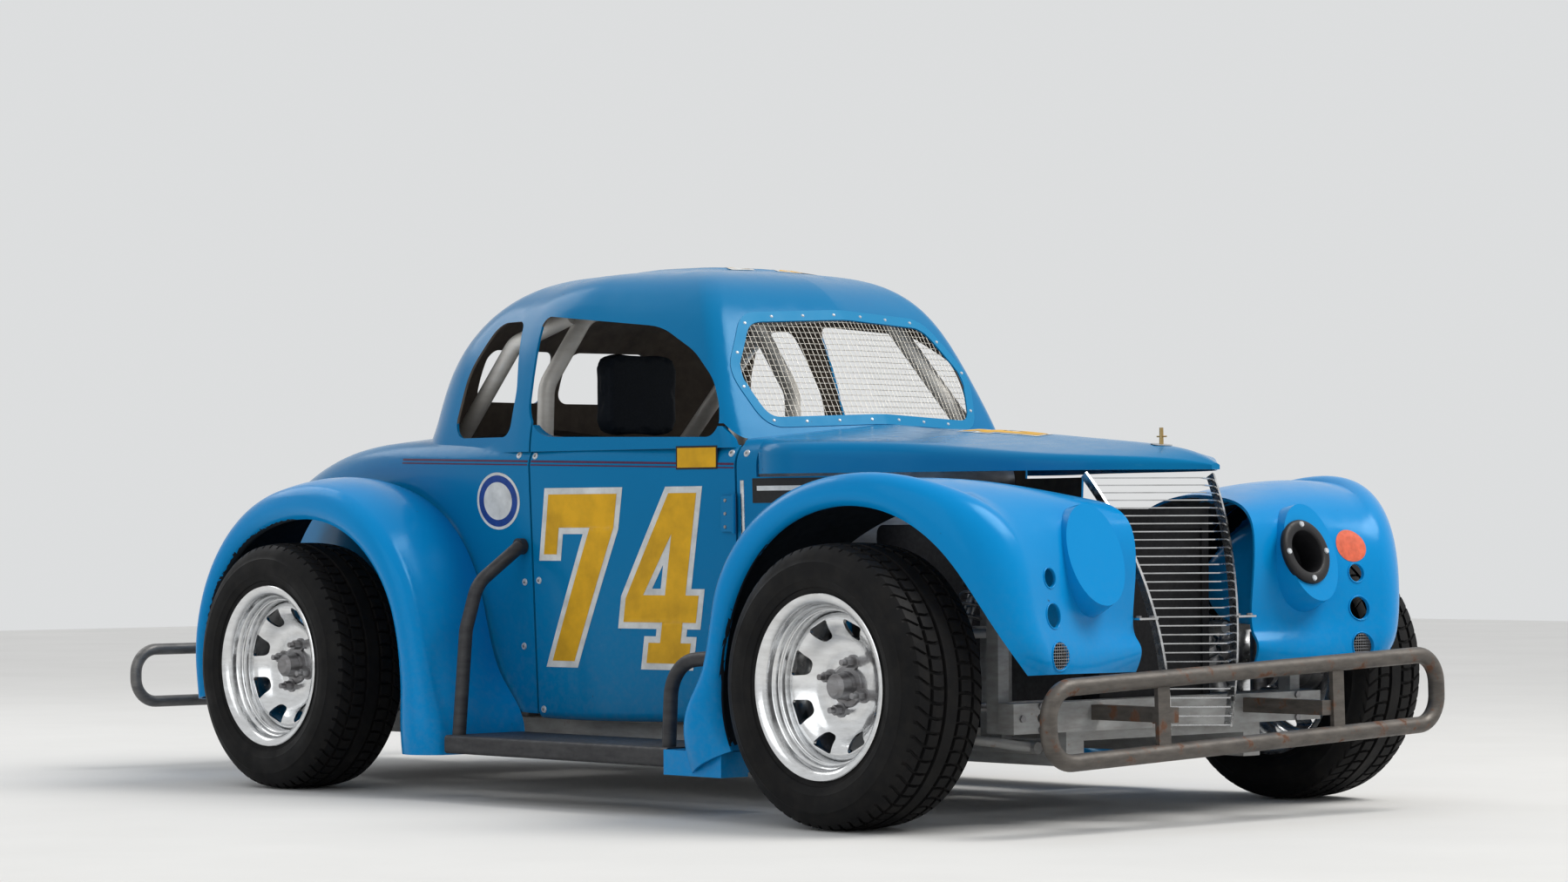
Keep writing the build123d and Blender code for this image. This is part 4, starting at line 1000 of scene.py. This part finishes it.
# Rolled edges on the nose holes and wire across the lowest one, bracket bolts, door hinges
NOSE_HOLES = [(0.455, 0.491, 0.018), (0.454, 0.418, 0.023), (0.449, 0.34, 0.026)]
GAUZE_PITCH = 0.006
HINGE_LOW, HINGE_HIGH, HINGE_STEPS = 0.575, 0.69, 12
HINGE_SCREWS = (0.592, 0.62, 0.648)
# distance behind the front axle and height off the paint, across the strip
HINGE_SECTION = ((0.611, -0.001), (0.61, 0.0014), (0.6055, 0.0026), (0.601, 0.0014), (0.6, -0.001))
for name, side in SIDES.items():
    for number, (hole_y, hole_z, hole_r) in enumerate(NOSE_HOLES):
        edge = []
        edge_r = hole_r + 0.002
        for angle in CIRCLE:
            y, z = side * hole_y + edge_r * cos(angle), hole_z + edge_r * sin(angle)
            edge.append(on_nose(name, y, z, 0.0004))
        wires(f"hole_edge_{name}_{number}", [edge], 0.0016, FENDER_BLUE, 4, caps=True, cyclic=True)
    gauze_x = (sum(edge, Vector()) / len(edge)).x - 0.002
    runs = []
    for step in range(-4, 5):
        off = step * GAUZE_PITCH
        reach = math.sqrt(hole_r ** 2 - off ** 2) + 0.001
        for ends in (((-reach, off), (reach, off)), ((off, -reach), (off, reach))):
            runs.append([(gauze_x, side * hole_y + y, hole_z + z) for y, z in ends])
    wires(f"hole_wires_{name}", runs, 0.0007, STEEL, 1)
    bolts = [((FRONT_X + 0.303, side * y, 0.4075), (0, 0, 1), 0.0062, 0.0045, 6) for y in (0.128, 0.165)]
    for y, z in ((0.38, 0.238), (0.38, 0.192), (0.432, 0.215)):
        bolts.append(((FRONT_X + 0.24, side * y, z), (1, 0, 0), 0.0075, 0.006, 6))
    bars(f"bolts_{name}", bolts, STEEL, "chassis")
    screws = [((back(0.648), side * 0.4195, z), (0, side, 0), 0.0042, 0.0022, 16, 0.8) for z in HINGE_SCREWS]
    bars(f"hinge_screws_{name}", screws, STEEL, f"door_{name}")
    strip = []
    for step in range(HINGE_STEPS + 1):
        z = HINGE_LOW + (HINGE_HIGH - HINGE_LOW) * step / HINGE_STEPS
        strip += [on_side(side, back(distance), z, lift)[0] for distance, lift in HINGE_SECTION]
    faces = grid_faces(HINGE_STEPS + 1, len(HINGE_SECTION))
    set_sharp(mesh_object(f"hinge_strip_{name}", strip, faces, GRILLE_CHROME, "chassis"), 50)


# Coil springs over their dampers
COIL_STEPS = 20
COIL_LOW, COIL_HIGH = 0.22, 0.82


def coil_over(name, foot, head, coil_r, wire_r, turns):
    foot, head = Vector(foot), Vector(head)
    along = (head - foot).normalized()
    length = (head - foot).length
    turn = Vector((0, 0, 1)).rotation_difference(along).to_matrix()
    points = []
    steps = turns * COIL_STEPS
    for i in range(steps + 1):
        angle = 2 * pi * i / COIL_STEPS
        height = length * (COIL_LOW + (COIL_HIGH - COIL_LOW) * i / steps)
        points.append(foot + turn @ Vector((coil_r * cos(angle), coil_r * sin(angle), height)))
    wires(f"{name}_coil", [points], wire_r, STEEL, 4, caps=True)
    rows = [(foot, along, 0.0115, length, 24), (foot + along * 0.012, along, 0.0185, length * 0.52, 32)]
    for share in (COIL_LOW - 0.02, COIL_HIGH):
        rows.append((foot + along * length * share, along, coil_r + wire_r, 0.004, 40))
    return bars(f"{name}_damper", rows, ALUMINIUM, "chassis")


REAR_SPRING_X = REAR_X - 0.072
for name, side in SIDES.items():
    foot, head = (FRONT_X, side * 0.425, 0.196), (FRONT_X, side * 0.29, 0.54)
    front = coil_over(f"front_spring_{name}", foot, head, 0.0255, 0.0035, 9)
    foot, head = (REAR_SPRING_X, side * 0.385, 0.231), (REAR_SPRING_X, side * 0.352, 0.453)
    rear = coil_over(f"rear_spring_{name}", foot, head, 0.0265, 0.0035, 7)
    if side > 0:
        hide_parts("front_springs")
        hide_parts("rear_springs")


# Seat: a folded shell with sewn pads, and the head pad, each pad blown up as cloth
SEAT_X = back(1.15)
PAD_FRAMES, PAD_PRESSURE, PAD_FILL, PAD_MARGIN = 20, 4.0, 0.9, 0.004


def slab(name, outline, low_y, high_y, rounding, mat):
    """A side-view outline run across the car between two Y places, edges rounded."""
    bm = bmesh.new()
    add_prism(bm, *([(point.x, y, point.y) for point in outline] for y in (low_y, high_y)))
    bmesh.ops.recalc_face_normals(bm, faces=bm.faces)
    if rounding:
        rims = [edge for edge in bm.edges if abs(edge.verts[0].co.y - edge.verts[1].co.y) < 0.0001]
        bmesh.ops.bevel(bm, geom=rims, offset=rounding, segments=4, profile=0.5, affect="EDGES")
    return bmesh_object(name, bm, mat, "chassis")


def puffed(obj, voxel, reach):
    """Remeshes a pad evenly, blows it up as cloth for a few frames and smooths it; reach caps the moves."""
    grid = obj.modifiers.new("even", "REMESH")
    grid.mode = "VOXEL"
    grid.voxel_size = voxel
    applied(obj)
    rest = [vert.co.copy() for vert in obj.data.vertices]
    low = [min(co[i] for co in rest) for i in range(3)]
    high = [max(co[i] for co in rest) for i in range(3)]
    cloth = obj.modifiers.new("blow", "CLOTH")
    cloth.settings.use_pressure = True
    cloth.settings.uniform_pressure_force = PAD_PRESSURE
    cloth.settings.effector_weights.gravity = 0.0
    cloth.settings.quality = 5
    cloth.point_cache.frame_start = 1
    cloth.point_cache.frame_end = PAD_FRAMES
    for number in range(1, PAD_FRAMES + 1):
        bpy.context.scene.frame_set(number)
    applied(obj)
    bpy.context.scene.frame_set(1)
    for vert, home in zip(obj.data.vertices, rest):
        move = vert.co - home
        if move.length > reach:
            vert.co = home + move.normalized() * reach
        for i in range(3):
            vert.co[i] = min(max(vert.co[i], low[i] - PAD_MARGIN), high[i] + PAD_MARGIN)
    smooth = obj.modifiers.new("smooth", "SUBSURF")
    smooth.levels = smooth.render_levels = 1
    applied(obj)
    shade_smooth(obj)
    if not obj.data.materials:
        obj.data.materials.append(PAD)


def side_points(rows):
    return [(SEAT_X + x, z) for x, z in rows]


SHELL_SIDE = side_points([
    (0.16, 0.17), (0.172, 0.3), (-0.15, 0.262), (-0.282, 0.798), (-0.318, 0.798), (-0.2, 0.17),
])
CUSHION_SIDE = side_points([(0.166, 0.286), (0.172, 0.326), (-0.1, 0.3), (-0.112, 0.262)])
BACK_SIDE = side_points([(-0.112, 0.33), (-0.15, 0.318), (-0.276, 0.792), (-0.246, 0.796)])
WING_SIDE = side_points([
    (0.15, 0.17), (0.162, 0.352), (-0.06, 0.386), (-0.172, 0.794), (-0.314, 0.798), (-0.2, 0.17),
])
seat_shell = slab("seat_shell", round_outline(SHELL_SIDE, 0.012), -0.198, 0.198, 0.004, SEAT_SHELL)
set_sharp(seat_shell, 30)
for name, side in SIDES.items():
    low_y, high_y = sorted((side * 0.208, side * 0.232))
    wing = slab(f"seat_wing_{name}", round_outline(WING_SIDE, 0.03), low_y, high_y, 0, PAD)
    puffed(wing, 0.006, 0.006)
cushion = slab("seat_cushion", round_outline(CUSHION_SIDE, 0.014), -0.196, 0.196, 0, PAD)
puffed(cushion, 0.005, 0.01)
seat_back = slab("seat_back_pad", round_outline(BACK_SIDE, 0.012), -0.196, 0.196, 0, PAD)
puffed(seat_back, 0.005, 0.008)
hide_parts("seat")

head_lo, head_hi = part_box("headrest")
low_y, high_y = head_lo[1] + 0.006, head_hi[1] - 0.006
low_z, high_z = head_lo[2] + 0.004, head_hi[2] - 0.004
HEAD_FACE = [(low_y, low_z), (high_y, low_z), (high_y, high_z), (low_y, high_z)]
rear_x, front_x = head_lo[0] + 0.005, head_hi[0] - 0.005
head_pad = slab("headrest_pad", round_outline(HEAD_FACE, 0.042), rear_x, front_x, 0, PAD)
for vert in head_pad.data.vertices:
    vert.co = (vert.co.y, vert.co.x, vert.co.z)
head_pad.data.flip_normals()
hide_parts("headrest")
puffed(head_pad, 0.005, 0.005)

# Hood pin on its plate
spot, normal = on_top(FRONT_X + 0.215, 0)
bars("hood_pin_plate", [(spot - normal * 0.001, normal, 0.022, 0.0018, 32)], ALUMINIUM, "hood")
through = spot + Vector((-0.012, 0, 0.016))
pin = [(spot, (0, 0, 1), 0.0045, 0.034, 16, 0.9), (through, (1, 0, 0), 0.0016, 0.026, 10)]
bars("hood_pin", pin, BRASS, "hood")

# Floor
FLOOR_HALF = 14.0
g = Graph("floor_pale", (0.74, 0.735, 0.72), 0.85)
g.color(g.mix(g.noise(1.5, 0.3, 0.7), (0.72, 0.715, 0.7), (0.76, 0.755, 0.74)))
mesh = bpy.data.meshes.new("floor")
square = [(u * FLOOR_HALF, v * FLOOR_HALF, 0) for u, v in ((-1, -1), (1, -1), (1, 1), (-1, 1))]
mesh.from_pydata(square, [], [(0, 1, 2, 3)])
mesh.materials.append(g.mat)
add_object("floor", mesh)

# World: an even pale sky
world = bpy.data.worlds.new("studio")
bpy.context.scene.world = world
world.use_nodes = True
sky = world.node_tree
lit = sky.nodes["Background"]
set_inputs(lit, Color=(0.9, 0.93, 0.97, 1), Strength=0.46)
# the paler backdrop is what the camera sees, also in metal
backdrop = sky.nodes.new("ShaderNodeBackground")
set_inputs(backdrop, Color=(0.72, 0.73, 0.735, 1), Strength=1.0)
rays = sky.nodes.new("ShaderNodeLightPath")
choose = sky.nodes.new("ShaderNodeMixShader")
seen = rays.outputs["Is Camera Ray"]
for kind in ("Is Glossy Ray", "Is Transmission Ray"):
    either = sky.nodes.new("ShaderNodeMath")
    either.operation = "MAXIMUM"
    sky.links.new(seen, either.inputs[0])
    sky.links.new(rays.outputs[kind], either.inputs[1])
    seen = either.outputs["Value"]
sky.links.new(seen, choose.inputs["Fac"])
sky.links.new(lit.outputs["Background"], choose.inputs[1])
sky.links.new(backdrop.outputs["Background"], choose.inputs[2])
sky.links.new(choose.outputs["Shader"], sky.nodes["World Output"].inputs["Surface"])

# Lamps: a key from the front left above, a broad fill from the camera's side, one from the rear
LAMPS = {
    "key": ((3.6, 2.2, 4.6), 3.0, 110, (1.0, 0.97, 0.92)),
    "fill": ((1.5, -6.0, 3.0), 5.0, 70, (0.97, 0.99, 1.0)),
    "rear": ((-4.5, -1.0, 4.0), 3.0, 50, (1.0, 1.0, 1.0)),
}


def add_lamp(name, kind, energy, tint, spot, target):
    """A lamp at spot that shines toward target."""
    lamp = bpy.data.lights.new(name, kind)
    lamp.energy = energy
    lamp.color = tint
    holder = add_object(name, lamp)
    holder.location = spot
    holder.rotation_euler = (Vector(target) - Vector(spot)).to_track_quat("-Z", "Y").to_euler()
    return lamp


for name, (spot, size, power, tint) in LAMPS.items():
    add_lamp(name, "AREA", power, tint, spot, (0, 0, 0.5)).size = size

# A broad soft sun from the key's side, so that the floor is lit evenly to its far edge
add_lamp("soft_sun", "SUN", 1.5, (1.0, 0.98, 0.95), (2.6, 2.4, 4.6), (0, 0, 0)).angle = radians(32)

# Camera at the photograph's angle
IMAGE_WIDTH, FOCAL_PX, SENSOR = 1800, 4685.7, 36.0
CAMERA_AT = Vector((FRONT_X + 5.846, -6.103, 0.591))
YAW, PITCH, ROLL = radians(-47.98), radians(1.21), radians(0.25)
camera_data = bpy.data.cameras.new("camera")
camera_data.sensor_width = SENSOR
camera_data.lens = FOCAL_PX * SENSOR / IMAGE_WIDTH
camera_data.clip_end = 100
camera = add_object("camera", camera_data)
view_dir = Vector((sin(YAW) * cos(PITCH), cos(YAW) * cos(PITCH), sin(PITCH)))
level = Vector((cos(YAW), -sin(YAW), 0))
right = level * cos(ROLL) + view_dir.cross(level) * sin(ROLL)
up_dir = right.cross(view_dir)
turn = Matrix((right, up_dir, -view_dir)).transposed().to_4x4()
camera.matrix_world = Matrix.Translation(CAMERA_AT) @ turn
bpy.context.scene.camera = camera
bpy.context.scene.view_settings.view_transform = "Standard"
